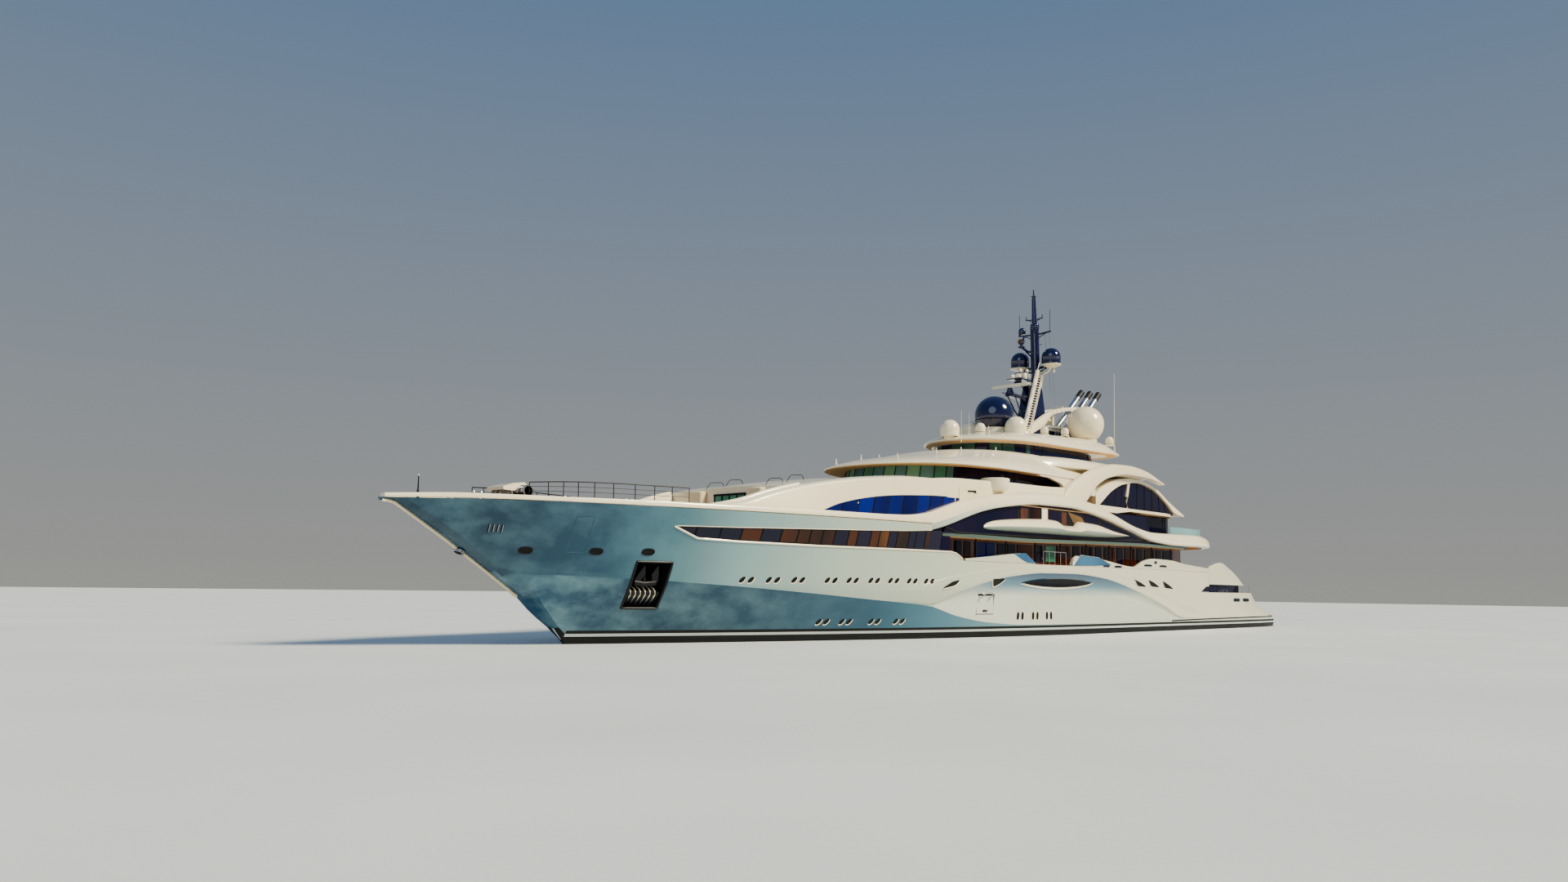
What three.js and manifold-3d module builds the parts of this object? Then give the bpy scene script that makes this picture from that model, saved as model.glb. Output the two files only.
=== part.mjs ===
// A large motor yacht as a scale model at 1:10, built as separate pieces.
// Frame: +X towards the bow, +Y to port, +Z up, origin amidships at the waterline.
// Sizes in the tables are full-size metres; METRE turns them into model millimetres.

import * as THREE from "three";
import { mergeVertices } from "three/addons/utils/BufferGeometryUtils.js";
import Module from "manifold-3d";

const wasm = await Module();
wasm.setup();

// Driving dimensions
const METRE = 100;          // one full-size metre at 1:10, in millimetres
const GAP = 0.004;          // gap between pieces that touch
const PLAY = 0.06;          // room around pieces that move
const BOW = 61.45;          // foremost point of the hull
const STERN = -59.6;        // aftmost point of the swim platform
const BEAM = 10.2;          // half-breadth at the deck edge amidships
const WATER_BEAM = 9.9;     // half-breadth at the waterline amidships
const MAIN_DECK = 6.25;     // height of the main side decks
const FOREDECK = 8.98;      // height of the deck at the bow
const UPPER_DECK = 8.45;    // top of the upper deck slab, amidships
const UPPER_AFT = 8.85;     // top of the upper deck slab, aft
const BRIDGE_DECK = 12.3;   // top of the bridge deck slab
const SUN_DECK = 16.7;      // top of the bridge roof
const TOP_ROOF = 18.95;     // top of the highest roof
const SLAB_BASE = 8.15;     // underside of the upper deck slab
const HOUSE_SIDE = 9.68;    // half-breadth of the upper deck glass
const INNER_SIDE = 9.2;     // half-breadth inside the sheer band
const BAND_DEPTH = 0.9;     // how deep the sheer band is, across the ship
const STERN_DECK = 4.05;    // height of the deck at the stern
const PLATFORM = 1.32;      // height of the swim platform

// Materials
const finish = (color, roughness, metalness) => (
  new THREE.MeshStandardMaterial({ color, roughness, metalness })
);
const hullPaint = finish(0xc4d0cb, 0.25, 0.1);
const whitePaint = finish(0xf0eadb, 0.3, 0);
const navyPaint = finish(0x141a3c, 0.25, 0.1);
const darkGlass = finish(0x14182e, 0.1, 0);
const blueGlass = finish(0x1a3a9a, 0.1, 0);
const woodPanel = finish(0x7a3c1e, 0.5, 0);
const bronze = finish(0xa88040, 0.3, 0.9);
const steel = finish(0xb8bcc0, 0.3, 0.9);
const darkSteel = finish(0x22252b, 0.4, 0.6);
const antifouling = finish(0x20242c, 0.6, 0);

// Small helpers
const clamp = (value, low, high) => Math.min(Math.max(value, low), high);
const mix = (a, b, t) => a + (b - a) * t;
const spread = (from, to, count) => Array.from({ length: count + 1 }, (_, i) => mix(from, to, i / count));

// A smooth curve through rows of [x, value], with x falling; it never overshoots its rows.
function smooth(rows) {
  const last = rows.length - 1;
  const rise = (i) => (rows[i + 1][1] - rows[i][1]) / (rows[i + 1][0] - rows[i][0]);
  const slope = (i) => {
    if (i === 0) return rise(0);
    if (i === last) return rise(last - 1);
    const before = rise(i - 1);
    const after = rise(i);
    return before * after <= 0 ? 0 : (2 * before * after) / (before + after);
  };
  return (x) => {
    const at = clamp(x, rows[last][0], rows[0][0]);
    const next = clamp(rows.findIndex((row) => row[0] <= at), 1, last);
    const i = next - 1;
    const width = rows[next][0] - rows[i][0];
    const t = (at - rows[i][0]) / width;
    const bend = t * t * (3 - 2 * t);
    const leave = t * (1 - t) * (1 - t) * width * slope(i);
    const arrive = t * t * (t - 1) * width * slope(next);
    return mix(rows[i][1], rows[next][1], bend) + leave + arrive;
  };
}

// Straight lines through rows of [x, value], with x falling.
function straight(rows) {
  const last = rows.length - 1;
  return (x) => {
    const at = clamp(x, rows[last][0], rows[0][0]);
    const next = clamp(rows.findIndex((row) => row[0] <= at), 1, last);
    const [x0, v0] = rows[next - 1];
    const [x1, v1] = rows[next];
    return mix(v0, v1, (at - x0) / (x1 - x0));
  };
}

// Closed geometry from a list of triangles' corners and indices, turned so that its faces point out.
function closed(positions, indices) {
  let volume = 0;
  const corner = (i) => new THREE.Vector3().fromArray(positions, indices[i] * 3);
  for (let i = 0; i < indices.length; i += 3) {
    volume += corner(i).dot(corner(i + 1).cross(corner(i + 2)));
  }
  const order = volume > 0 ? indices : indices.slice().reverse();
  const geometry = new THREE.BufferGeometry();
  geometry.setAttribute("position", new THREE.Float32BufferAttribute(positions, 3));
  geometry.setIndex(order);
  return geometry;
}

// A solid through rings of the same number of points, its ends closed by fans.
function loft(rings) {
  const count = rings[0].length;
  const positions = rings.flat(2);
  const indices = [];
  for (let r = 0; r < rings.length - 1; r += 1) {
    for (let i = 0; i < count; i += 1) {
      const a = r * count + i;
      const b = r * count + ((i + 1) % count);
      indices.push(a, b, b + count, a, b + count, a + count);
    }
  }
  const cap = (ring, first, flip) => {
    const centre = positions.length / 3;
    for (const axis of [0, 1, 2]) {
      positions.push(ring.reduce((sum, point) => sum + point[axis], 0) / count);
    }
    for (let i = 0; i < count; i += 1) {
      const a = first + i;
      const b = first + ((i + 1) % count);
      indices.push(...(flip ? [centre, b, a] : [centre, a, b]));
    }
  };
  cap(rings[0], 0, true);
  cap(rings.at(-1), (rings.length - 1) * count, false);
  return closed(positions, indices);
}

// Joins and cuts
function toSolid(geometry) {
  const bare = geometry.clone();
  bare.deleteAttribute("normal");
  bare.deleteAttribute("uv");
  const merged = mergeVertices(bare, 1e-5);
  return new wasm.Manifold(new wasm.Mesh({
    numProp: 3,
    vertProperties: new Float32Array(merged.attributes.position.array),
    triVerts: new Uint32Array(merged.index.array),
  }));
}

function toGeometry(solid) {
  const { vertProperties, triVerts } = solid.getMesh();
  const geometry = new THREE.BufferGeometry();
  geometry.setAttribute("position", new THREE.Float32BufferAttribute(vertProperties, 3));
  geometry.setIndex(Array.from(triVerts));
  return geometry;
}

const join = (...pieces) => toGeometry(pieces.map(toSolid).reduce((a, b) => a.add(b)));
const cut = (piece, ...tools) => (
  toGeometry(tools.map(toSolid).reduce((a, b) => a.subtract(b), toSolid(piece)))
);

// Simple closed shapes
const moved = (geometry, x, y, z) => geometry.translate(x, y, z);
const box = (x, y, z, length, width, height) => moved(new THREE.BoxGeometry(length, width, height), x, y, z);

// A straight rod between two points, with a radius at each end.
function rod(from, to, r, rEnd = r, sides = 12) {
  const start = new THREE.Vector3(...from);
  const run = new THREE.Vector3(...to).sub(start);
  const geometry = new THREE.CylinderGeometry(rEnd, r, run.length(), sides);
  geometry.translate(0, run.length() / 2, 0);
  const turn = new THREE.Quaternion().setFromUnitVectors(new THREE.Vector3(0, 1, 0), run.clone().normalize());
  geometry.applyQuaternion(turn);
  return moved(geometry, ...from);
}

// Domes as pairs of share of the radius and share of the radius up from the foot: a ball cut off at
// its foot, and a short drum with a half ball on top.
const halfBall = (from, height) => spread(from, 90, 9).map((degrees) => {
  const angle = THREE.MathUtils.degToRad(degrees);
  return [degrees === 90 ? 0 : Math.cos(angle), height + Math.sin(angle)];
});
const BALL_DOME = [[0, 0], ...halfBall(-38, 0.62)];
const FULL_BALL = [[0, 0], ...halfBall(-68, 0.93)];
const DRUM_DOME = [[0, 0], [0.94, 0], [1, 0.08], ...halfBall(0, 0.75)];

function dome(x, y, foot, r, profile) {
  const geometry = new THREE.LatheGeometry(profile.map(([a, b]) => new THREE.Vector2(a * r, b * r)), 20);
  return moved(geometry.rotateX(Math.PI / 2), x, y, foot);
}

// The rounded plan outline of a deck or house: a nose and a tail of superellipse form.
function planRing(level, points = 18) {
  const { z, nose, tail, half, noseLength, tailLength = 3, power = 2.2, lift = () => 0 } = level;
  const ring = [];
  const bend = (t) => Math.sign(t) * Math.abs(t) ** (2 / power);
  for (const t of spread(-0.5, 0.5, points)) {
    const angle = t * Math.PI;
    ring.push([nose - noseLength + noseLength * bend(Math.cos(angle)), half * bend(Math.sin(angle)), z]);
  }
  for (const t of spread(0.5, 1.5, Math.round(points * 0.7))) {
    const angle = t * Math.PI;
    ring.push([tail + tailLength + tailLength * bend(Math.cos(angle)), half * bend(Math.sin(angle)), z]);
  }
  for (const point of ring) point[2] += lift(point[0]);
  return ring;
}

// A house or roof through plan outlines at rising heights.
const tower = (levels) => loft(levels.map((level) => planRing(level)));

// The hull's outline
// Half-breadth of one level from its stem to its full breadth, with the given fullness.
function fullness(x, stem, shoulder, half, power) {
  const t = clamp((stem - x) / (stem - shoulder), 0, 1);
  return half * (1 - (1 - t) ** power);
}

// The stern's rounding in plan at the swim platform and at the deck above it: x, half-breadth
const platformRound = smooth([
  [-30, BEAM], [-40, 9.95], [-46, 9.8], [-50, 9.55], [-53, 9.1], [-55.5, 8.2], [-57.5, 6.6], [-58.9, 4.2],
  [STERN, 1.2],
]);
const deckRound = smooth([
  [-30, BEAM], [-38, 9.95], [-42, 9.75], [-44.5, 9.45], [-46.3, 8.95], [-48, 8.2], [-50, 7.2], [-53, 6.2],
  [STERN, 1.1],
]);
const ROUND_FROM = 1.45; // height where the platform's outline starts to give way to the deck's
const ROUND_RISE = 2.6;
function sternLimit(x, z) {
  return mix(platformRound(x), deckRound(x), clamp((z - ROUND_FROM) / ROUND_RISE, 0, 1));
}
const deckEdge = (x) => fullness(x, 61.7, 12, BEAM, 2.3);
const knuckleEdge = (x) => fullness(x, 55.2, 5, 10, 2.1);
const waterEdge = (x) => Math.min(fullness(x, 48.6, -5, WATER_BEAM, 1.9), sternLimit(x, 0) - 0.1);
const KNUCKLE_LEVEL = 4;
const SHEER_LEVEL = 9;

// Half-breadth of the side at a height above the water
function sideAt(x, z) {
  const low = mix(waterEdge(x), knuckleEdge(x), clamp(z / KNUCKLE_LEVEL, 0, 1));
  const side = mix(low, deckEdge(x), clamp((z - KNUCKLE_LEVEL) / (SHEER_LEVEL - KNUCKLE_LEVEL), 0, 1));
  return Math.min(side, sternLimit(x, z));
}

// Lines along the hull, as rows of x and height
const bottomLine = straight([
  [BOW, 8.62], [60.6, 8.6], [59.6, 8], [57.1, 6.48], [54.5, 4.79], [51.87, 3.03], [51.14, 2.93],
  [50.42, 2.17], [49.62, 1.42], [48.87, 0.8], [48.5, 0.3], [48.3, 0], [47.6, -1.2], [46.4, -2.9], [45, -4.3],
  [43, -5.1], [40, -5.3], [-18, -5.3], [-30, -4.7], [-42, -2.9], [-50, -1.3], [-55, -0.4], [-58, 0.1],
  [STERN, 0.4],
]);
const SLOPE_TOP = -46.3;    // x where the stern deck ends
const SLOPE_FOOT = -50.3;   // x where the swim platform starts
const STRIP_END = 20.95;    // x where the hull's side above the window strip ends
const deckLine = straight([
  [BOW, 8.8], [56.5, 8.93], [51.5, FOREDECK], [STRIP_END, FOREDECK], [STRIP_END - 0.02, 6.95], [18.2, 6.95],
  [17.2, 6.6], [16.4, MAIN_DECK], [-31.28, MAIN_DECK], [-31.3, STERN_DECK], [SLOPE_TOP, STERN_DECK],
  [SLOPE_FOOT, PLATFORM], [STERN, PLATFORM],
]);
const knuckleLine = smooth([
  [BOW, 4.7], [50.2, 4.48], [43.1, 4.22], [38.1, 3.94], [31.4, 3.5], [26.6, 3.14], [19.7, 2.62],
  [15.9, 1.79], [11.9, 1.25], [5.9, 0.97], [-1, 0.98], [-13, 1.07], [-24.1, 1.18], [STERN, 1.2],
]);
const archInner = smooth([
  [21, 2.2], [19.5, 2.65], [17.4, 3.45], [13.8, 4.46], [9.5, 5.13], [4.7, 5.48], [-0.7, 5.52], [-6.5, 5.21],
  [-12.8, 4.2], [-19.7, 2.61], [-24.9, 1.3], [-30, 1.2],
]);
const archOuter = smooth([
  [26, 3.5], [21.9, 3.95], [19.6, 4.55], [13.9, 5.45], [9.6, 5.9], [4.7, 6.08], [-6.4, 6.08], [-12, 5.3],
  [-19, 3.9], [-26, 2.2], [-30, 1.4],
]);
const ARCH_PROUD = smooth([[24, 0], [20, 0.1], [10, 0.14], [-18, 0.14], [-26, 0.08], [-29, 0]]);
const SCOOP_DEPTH = smooth([[20, 0], [16, 0.2], [6, 0.55], [-6, 0.55], [-18, 0.25], [-25, 0]]);

// The stem is rounded above its chin; under the chin a flat facet runs down to the waterline
const CHIN = { fore: 51.87, aft: 51.14, half: 1.08, rise: 0.1 };
function stemFlat(x, z) {
  if (x <= CHIN.aft) return sideAt(x, z) * 0.97;
  const t = (x - CHIN.aft) / (CHIN.fore - CHIN.aft);
  return CHIN.half * Math.sqrt(Math.max(1 - t * t, 0.0015));
}

// Below the water: share of the draught, share of the waterline's half-breadth
const BILGE = [[1, 0.42], [0.96, 0.62], [0.85, 0.82], [0.65, 0.94], [0.35, 0.985]];

// One side of the hull's section, from the keel to the deck edge, as pairs of y and z
function hullSection(x) {
  const bottom = bottomLine(x);
  const top = deckLine(x);
  const knuckle = knuckleLine(x);
  const inner = Math.max(archInner(x), knuckle + 0.1);
  const outer = Math.max(archOuter(x), inner + 0.1);
  const scoop = SCOOP_DEPTH(x);
  const proud = ARCH_PROUD(x);
  const ahead = x > CHIN.aft;
  const under = BILGE.map(([depth, share], i) => {
    if (bottom < 0) return [waterEdge(x) * share, bottom * depth];
    const t = (i + 1) / BILGE.length;
    const z = bottom + CHIN.rise * t;
    return [stemFlat(x, z) * t, z];
  });
  const levels = [
    [0, 0], [0.75, 0], [knuckle, 0], [mix(knuckle, inner, 0.36), -scoop * 0.6],
    [mix(knuckle, inner, 0.7), -scoop], [inner, proud], [outer, proud], [outer + 0.1, 0], [top, 0],
  ];
  const step = ahead ? 0.05 : 0.005;
  let floor = bottom < 0 ? -0.5 : bottom + CHIN.rise;
  const above = levels.map(([level, offset], i) => {
    const limit = top - 0.006 * (levels.length - 1 - i);
    floor = Math.max(Math.min(Math.max(level, floor + step), limit), floor + 0.005);
    const side = sideAt(x, floor) + offset;
    const rounded = ahead ? side * Math.sqrt(clamp((floor - bottom) / 0.45, 0, 1)) : side;
    return [Math.max(rounded, ahead ? stemFlat(x, floor) : 0.02), floor];
  });
  return [[0, bottom - 0.002], ...under, ...above];
}

function hullRing(x) {
  const port = hullSection(x);
  const top = port.at(-1)[1];
  const starboard = port.slice(1).reverse().map(([y, z]) => [x, -y, z]);
  return [...port.map(([y, z]) => [x, y, z]), [x, 0, top], ...starboard];
}

const HULL_STATIONS = [
  BOW, 60.6, 59.6, 58.4, 57.1, 55.8, 54.5, 53.2, 52.4, 51.87, 51.65, 51.4, 51.14, 50.42, 49.62, 48.87,
  48.5, 48.3, 47.6, 46.4, 45, 43, 40, 36, 32.5, 28, 24, STRIP_END, STRIP_END - 0.02, 18.2, 17.2, 16.4, 14,
  10, 6, 2, -2, -6, -10, -14, -18, -22, -26, -31.28, -31.3, -36, -40, -43.5, SLOPE_TOP, -48.3,
  SLOPE_FOOT, -52, -54, -55.5, -57, -58.2, -59.1, STERN,
];
const hullBody = loft(HULL_STATIONS.map(hullRing));
const bulb = moved(new THREE.SphereGeometry(1, 16, 10).scale(4.4, 1.1, 1.3), 46.2, 0, -3.5);

// The shaped band along one side: outer face at the given half-breadth, rows of the section as
// share of the depth inwards and share of the height.
const ROUND_BAND = [
  [0.3, 0], [0.06, 0.08], [0, 0.35], [0.06, 0.7], [0.25, 0.93], [0.55, 1], [1, 0.97], [1, 0.02],
];
const PLAIN_BAND = [[0.1, 0], [0, 0.15], [0, 0.85], [0.3, 1], [0.8, 1], [1, 0.9], [1, 0]];
const OVAL_BAND = [[0.75, 0], [0.3, 0.1], [0, 0.42], [0.1, 0.75], [0.45, 0.97], [1, 1], [1, 0]];

function ribbon({ stations, low, high, outer, depth, section = PLAIN_BAND, side = 1, softness = () => 1 }) {
  return loft(stations.map((x) => section.map(([inwards, up]) => {
    const reach = (typeof depth === "function" ? depth(x) : depth) * (inwards < 1 ? softness(x) : 1);
    return [x, side * Math.max(outer(x) - inwards * reach, -0.01), mix(low(x), high(x), up)];
  })));
}

// The object
const yacht = new THREE.Group();

function add(name, geometry, material) {
  const scaled = geometry.clone().scale(METRE, METRE, METRE);
  const mesh = new THREE.Mesh(scaled, material);
  mesh.name = name;
  yacht.add(mesh);
  return mesh;
}

const SIDES = [["port", 1], ["starboard", -1]];

// Sheer band
const bandLow = straight([
  [61.4, 8.85], [56.5, 8.97], [51.5, 9.01], [20.92, 9.01], [20.88, 8.55], [19.8, 8.76], [18.1, 9.22],
  [16.6, 9.66], [13.6, 10.42], [9.9, 11.01], [4.9, 11.47], [-0.5, 11.54], [-6.2, 11.04], [-12.5, 10.01],
  [-17.8, 9.08], [-22.9, 8.87], [-30.8, 9], [-36.4, 9.05],
]);
const bandHigh = smooth([
  [61.4, 9.05], [56.5, 9.27], [51.5, 9.3], [46, 9.35], [41.9, 9.38], [34.7, 9.44], [27.5, 9.47], [24.2, 9.55],
  [21.7, 9.81], [19.5, 10.39], [16.6, 11.15], [13.6, 11.72], [9.9, 12.16], [4.9, 12.58], [0.7, 12.7],
  [-3.9, 12.36], [-9.2, 11.39], [-13.8, 10.44], [-17.8, 10.09], [-22.9, 10.14], [-29.2, 10.25], [-33, 10],
  [-36.4, 9.3],
]);
const bandInset = smooth([[-24, 0], [-28, 0.1], [-31, 0.4], [-34, 1.2], [-36.4, 2.6]]);
const bandOuter = (x) => deckEdge(x) + 0.02 - (x < -24 ? bandInset(x) : 0);
const bandDepth = smooth([[61.4, 0.3], [50, 0.45], [44.3, 0.5], [43, BAND_DEPTH], [-36.4, BAND_DEPTH]]);
const bandSoftness = smooth([[44.3, 0.3], [21, 0.35], [15, 1]]);
const BAND_STATIONS = [
  61.2, 59.5, 57, 54, 51, 48, 44.5, 43, 40, 36, 32, 28, 25, 23, 20.92, 20.88, 19.8, 18.1, 16.6, 15, 13.6,
  11.5, 9, 6, 3, 0, -3, -6, -9, -12, -15, -18, -22, -26, -29, -31, -33, -34.8, -36.4,
];
const bandSides = SIDES.map(([, side]) => ribbon({
  stations: BAND_STATIONS, low: bandLow, high: bandHigh, outer: bandOuter, depth: bandDepth,
  section: ROUND_BAND, side, softness: bandSoftness,
}));
add("sheer_band", join(...bandSides), whitePaint);
const insideBand = (x) => Math.min(bandOuter(x) - bandDepth(x) - GAP, INNER_SIDE);

// A block across the ship with its own half-breadth, floor and top at each station.
function block(stations, half, low, high) {
  return loft(stations.map((x) => [
    [x, half(x), low(x)], [x, half(x), high(x)], [x, 0, high(x)],
    [x, -half(x), high(x)], [x, -half(x), low(x)], [x, 0, low(x)],
  ]));
}

// Underside and top of the upper deck's slab, which rises a little aft and steps up behind the saloon
const slabBase = straight([
  [21, SLAB_BASE], [6, SLAB_BASE], [-6, 8.42], [-15, 8.57], [-27.1, 8.6], [-28.2, 9], [-40, 9],
]);
const upperTop = straight([
  [21, UPPER_DECK], [6, UPPER_DECK], [-6, 8.7], [-15, UPPER_AFT], [-27.1, UPPER_AFT], [-27.6, 9.27],
  [-40, 9.27],
]);

// Main deck windows: glass in a recess along each side, joined by the glass across the ship behind it
const stripSill = straight([[43.95, 7.78], [42.1, 7.12], [39.1, 7.02], [32.5, 6.95], [18.2, 6.95]]);
const stripHead = straight([[43.95, 7.84], [39.4, 7.91], [32.9, 8.08], [28.3, 8.2], [24, 8.34], [21, 8.5]]);
const STRIP_STATIONS = [43.85, 42.1, 40, 36, 32.5, 28, 24, STRIP_END, 19.6];
const hullTools = [];
function strip(side, outer, inner, spare) {
  return loft(STRIP_STATIONS.map((x) => {
    const sill = stripSill(x) - spare;
    const head = stripHead(x) + spare;
    return [
      [x, side * (sideAt(x, sill) + outer), sill], [x, side * (sideAt(x, head) + outer), head],
      [x, side * (sideAt(x, head) - inner), head], [x, side * (sideAt(x, sill) - inner), sill],
    ];
  }));
}
for (const [, side] of SIDES) hullTools.push(strip(side, 0.6, 0.3, 0));
const stripGlass = SIDES.map(([, side]) => strip(side, -0.1, 0.28, -GAP));
const crossGlass = block(
  [20.8, 18.2], (x) => sideAt(x, 7) - 0.12, (x) => stripSill(x) + GAP, () => SLAB_BASE - GAP,
);
// Glass that runs on outside the slab, up to the band
const CORNER_OUTER = 9.62;
const cornerGlass = SIDES.map(([, side]) => ribbon({
  stations: [20.85, 20, 19.25], low: () => 8.1, high: (x) => bandLow(x) - GAP, side,
  outer: () => CORNER_OUTER, depth: 0.32, section: [[0, 0], [0, 1], [1, 1], [1, 0]],
}));
add("main_deck_windows", join(...stripGlass, crossGlass, ...cornerGlass), darkGlass);
const deckhouseHalf = straight([
  [16.3, 8], [15.9, 8.3], [-26, 8.3], [-28.5, 8], [-29.7, 7.2], [-30.4, 5.6], [-30.6, 4],
]);
add("main_deck_house", block(
  [16.3, 15.9, 6, -6, -15, -26, -27.1, -28.5, -29.7, -30.4, -30.6],
  deckhouseHalf, () => MAIN_DECK + GAP, (x) => slabBase(x) - GAP,
), woodPanel);

// Upper deck: rows of x and half-breadth
const upperDeckAft = straight([
  [21, 9.55], [19, 9.55], [14, 9.8], [6, 9.9], [-24, 9.9], [-25.5, 9.7], [-26.5, 9.3], [-31, 9.3],
  [-34, 8.4], [-36.4, 6.4], [-37.4, 4.5], [-37.8, 2],
]);
function upperDeckHalf(x) {
  if (x > 19) return insideBand(x);
  return x < -26 ? Math.min(insideBand(Math.max(x, -36.4)) - 0.1, upperDeckAft(x)) : upperDeckAft(x);
}
add("upper_deck", block(
  [
    20.85, 20, 19.2, 19, 14, 6, -6, -15, -24, -25.5, -26.5, -27.1, -27.6, -28.2, -29, -31, -33, -34.8,
    -36.4, -37.4, -37.8,
  ],
  upperDeckHalf, slabBase, upperTop,
), whitePaint);

// Upper deck house: glass under the arch, and its core up to the bridge deck
const underBridge = straight([[16.3, 11.05], [11.5, 11.1], [9, 11.5], [6, 11.7], [-29, 11.7]]);
const lensTop = (x) => Math.min(bandLow(x) - GAP, underBridge(x) - 0.1);
const LENS_STATIONS = [16.2, 15, 13.6, 11.5, 9, 6, 3, 0, -3, -6, -9, -12, -15, -17, -17.5];
const lens = loft(LENS_STATIONS.map((x) => {
  const inner = INNER_SIDE - GAP;
  const half = [
    [HOUSE_SIDE, upperTop(x) + GAP], [HOUSE_SIDE, lensTop(x)], [inner, lensTop(x) + 0.01],
    [inner, underBridge(x) - GAP],
  ];
  return [
    ...half.map(([y, z]) => [x, y, z]), ...half.slice().reverse().map(([y, z]) => [x, -y, z]),
  ];
}));
const lensNose = SIDES.map(([, side]) => ribbon({
  stations: [18.98, 18.1, 16.6, 16.1], low: (x) => upperTop(x) + GAP, high: lensTop, side,
  outer: () => HOUSE_SIDE, depth: 0.4, section: [[0, 0], [0, 1], [1, 1], [1, 0]],
}));
add("upper_deck_house", join(lens, ...lensNose), darkGlass);
add("aft_saloon", tower([UPPER_AFT + GAP, 11.7 - GAP].map((z) => (
  { z, nose: -17.6, tail: -27, half: 8, noseLength: 0.3, tailLength: 3, power: 4 }
))), darkGlass);

// Balconies: spindles on the glass of the upper deck house
const podMiddle = 0.4;
const podReach = 13.1;
const podLow = smooth([[13.5, 9.05], [12.5, 8.95], [11, 8.95], [5, 9], [-3, 9.05], [-9, 9.2], [-12.7, 9.46]]);
const podHigh = smooth([
  [13.5, 9.2], [12.9, 9.5], [11.2, 9.82], [5.6, 10.22], [3.1, 10.3], [1.9, 10.26], [1, 9.9], [-1.5, 9.92],
  [-2.3, 10.38], [-5.5, 10.3], [-9, 9.85], [-12.7, 9.52],
]);
for (const [name, side] of SIDES) {
  add(`balcony_${name}`, ribbon({
    stations: [13.4, 13.1, 12.5, 11, 8.5, 6, 3.1, 1.9, 1, -1.5, -2.3, -4, -6, -8.5, -10.5, -12, -12.6],
    low: podLow, high: podHigh, section: OVAL_BAND, side,
    outer: (x) => HOUSE_SIDE + GAP + 0.95 * Math.sqrt(Math.max(1 - ((x - podMiddle) / podReach) ** 2, 0.01)),
    depth: (x) => 0.95 * Math.sqrt(Math.max(1 - ((x - podMiddle) / podReach) ** 2, 0.01)),
  }), whitePaint);
}

// Forward house: rows of x, half-breadth, height of the shoulder, height of the crown
const HOUSE_ROWS = [
  [42, 4.8, 9.08, 9.2], [40.5, 5.8, 9.2, 9.5], [38.5, 6.8, 9.6, 10], [36, 7.3, 10.4, 10.8],
  [33.5, 7.65, 11.05, 11.4], [31, 8, 11.55, 11.88], [28, 8.45, 12, 12.35], [25, 8.7, 12.3, 12.68],
  [22.5, 8.9, 12.55, 12.85], [16.4, 9.19, 12.75, 12.95],
];
const houseHalf = smooth(HOUSE_ROWS.map(([x, half]) => [x, half]));
const houseShoulder = smooth(HOUSE_ROWS.map(([x, , shoulder]) => [x, shoulder]));
const houseCrown = smooth(HOUSE_ROWS.map(([x, , , crown]) => [x, crown]));
const HOUSE_STEP = 20.9; // x where the house's foot steps down from the foredeck to the upper deck
const HOUSE_STATIONS = [
  42, 41.3, 40.5, 39.5, 38.5, 37.3, 36, 34.8, 33.5, 32.2, 31, 29.5, 28, 26.5, 25, 23, 20.92, 20.88, 18.6,
  16.4,
];
const forwardHouse = loft(HOUSE_STATIONS.map((x) => {
  const half = houseHalf(x);
  const foot = (x > HOUSE_STEP ? FOREDECK : UPPER_DECK) + GAP;
  const shoulder = houseShoulder(x);
  const crown = houseCrown(x);
  const port = [
    [half, foot], [half, shoulder], [half - 0.2, mix(shoulder, crown, 0.4)],
    [half - 0.7, mix(shoulder, crown, 0.7)], [half * 0.62, crown - 0.2], [half * 0.3, crown],
  ];
  return [...port.map(([y, z]) => [x, y, z]), ...port.slice().reverse().map(([y, z]) => [x, -y, z])];
}));
const BLUE_FOOT = 9.16;
const blueHigh = smooth([
  [32.6, 9.58], [31.4, 9.94], [29.4, 10.46], [27.3, 10.82], [24.1, 11.12], [20.6, 11.3], [16.6, 11.3],
]);
const blueWindow = (side, grow) => ribbon({
  stations: [32.5 + grow, 31.9, 31, 29.5, 28, 26.5, 25, 23, 20.97, 18.6, 16.8 - grow],
  low: () => BLUE_FOOT - grow, high: (x) => blueHigh(x) + grow, side,
  outer: (x) => houseHalf(x) + 0.03 + grow, depth: 0.3 + 2 * grow,
});
add("forward_house", cut(forwardHouse, blueWindow(1, GAP), blueWindow(-1, GAP)), whitePaint);
for (const [name, side] of SIDES) add(`forward_window_${name}`, blueWindow(side, 0), blueGlass);

// Bridge deck
const WINDOW_FOOT = BRIDGE_DECK + 0.66;
const bridgeTail = straight([
  [-22, 1], [-23.5, 0.98], [-25, 0.92], [-26.5, 0.8], [-27.6, 0.64], [-28.5, 0.4], [-29, 0.12],
]);
const bridgeFloor = block(
  [16.3, 11.5, 9, 6, -22, -23.5, -25, -26.5, -27.6, -28.5, -29],
  (x) => (INNER_SIDE - GAP) * bridgeTail(x), underBridge, () => BRIDGE_DECK,
);
const bridgePlinth = tower([BRIDGE_DECK - 0.1, WINDOW_FOOT - GAP].map((z) => (
  { z, nose: 16, tail: -6, half: 7.6, noseLength: 3, power: 4 }
)));
add("bridge_deck", join(bridgeFloor, bridgePlinth), whitePaint);
add("bridge_house", tower([
  { z: WINDOW_FOOT, nose: 16.2, tail: -6, half: 7.5, noseLength: 11, power: 2.4 },
  { z: 14.26, nose: 15.8, tail: -6, half: 7.3, noseLength: 11, power: 2.4 },
]), darkGlass);
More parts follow.
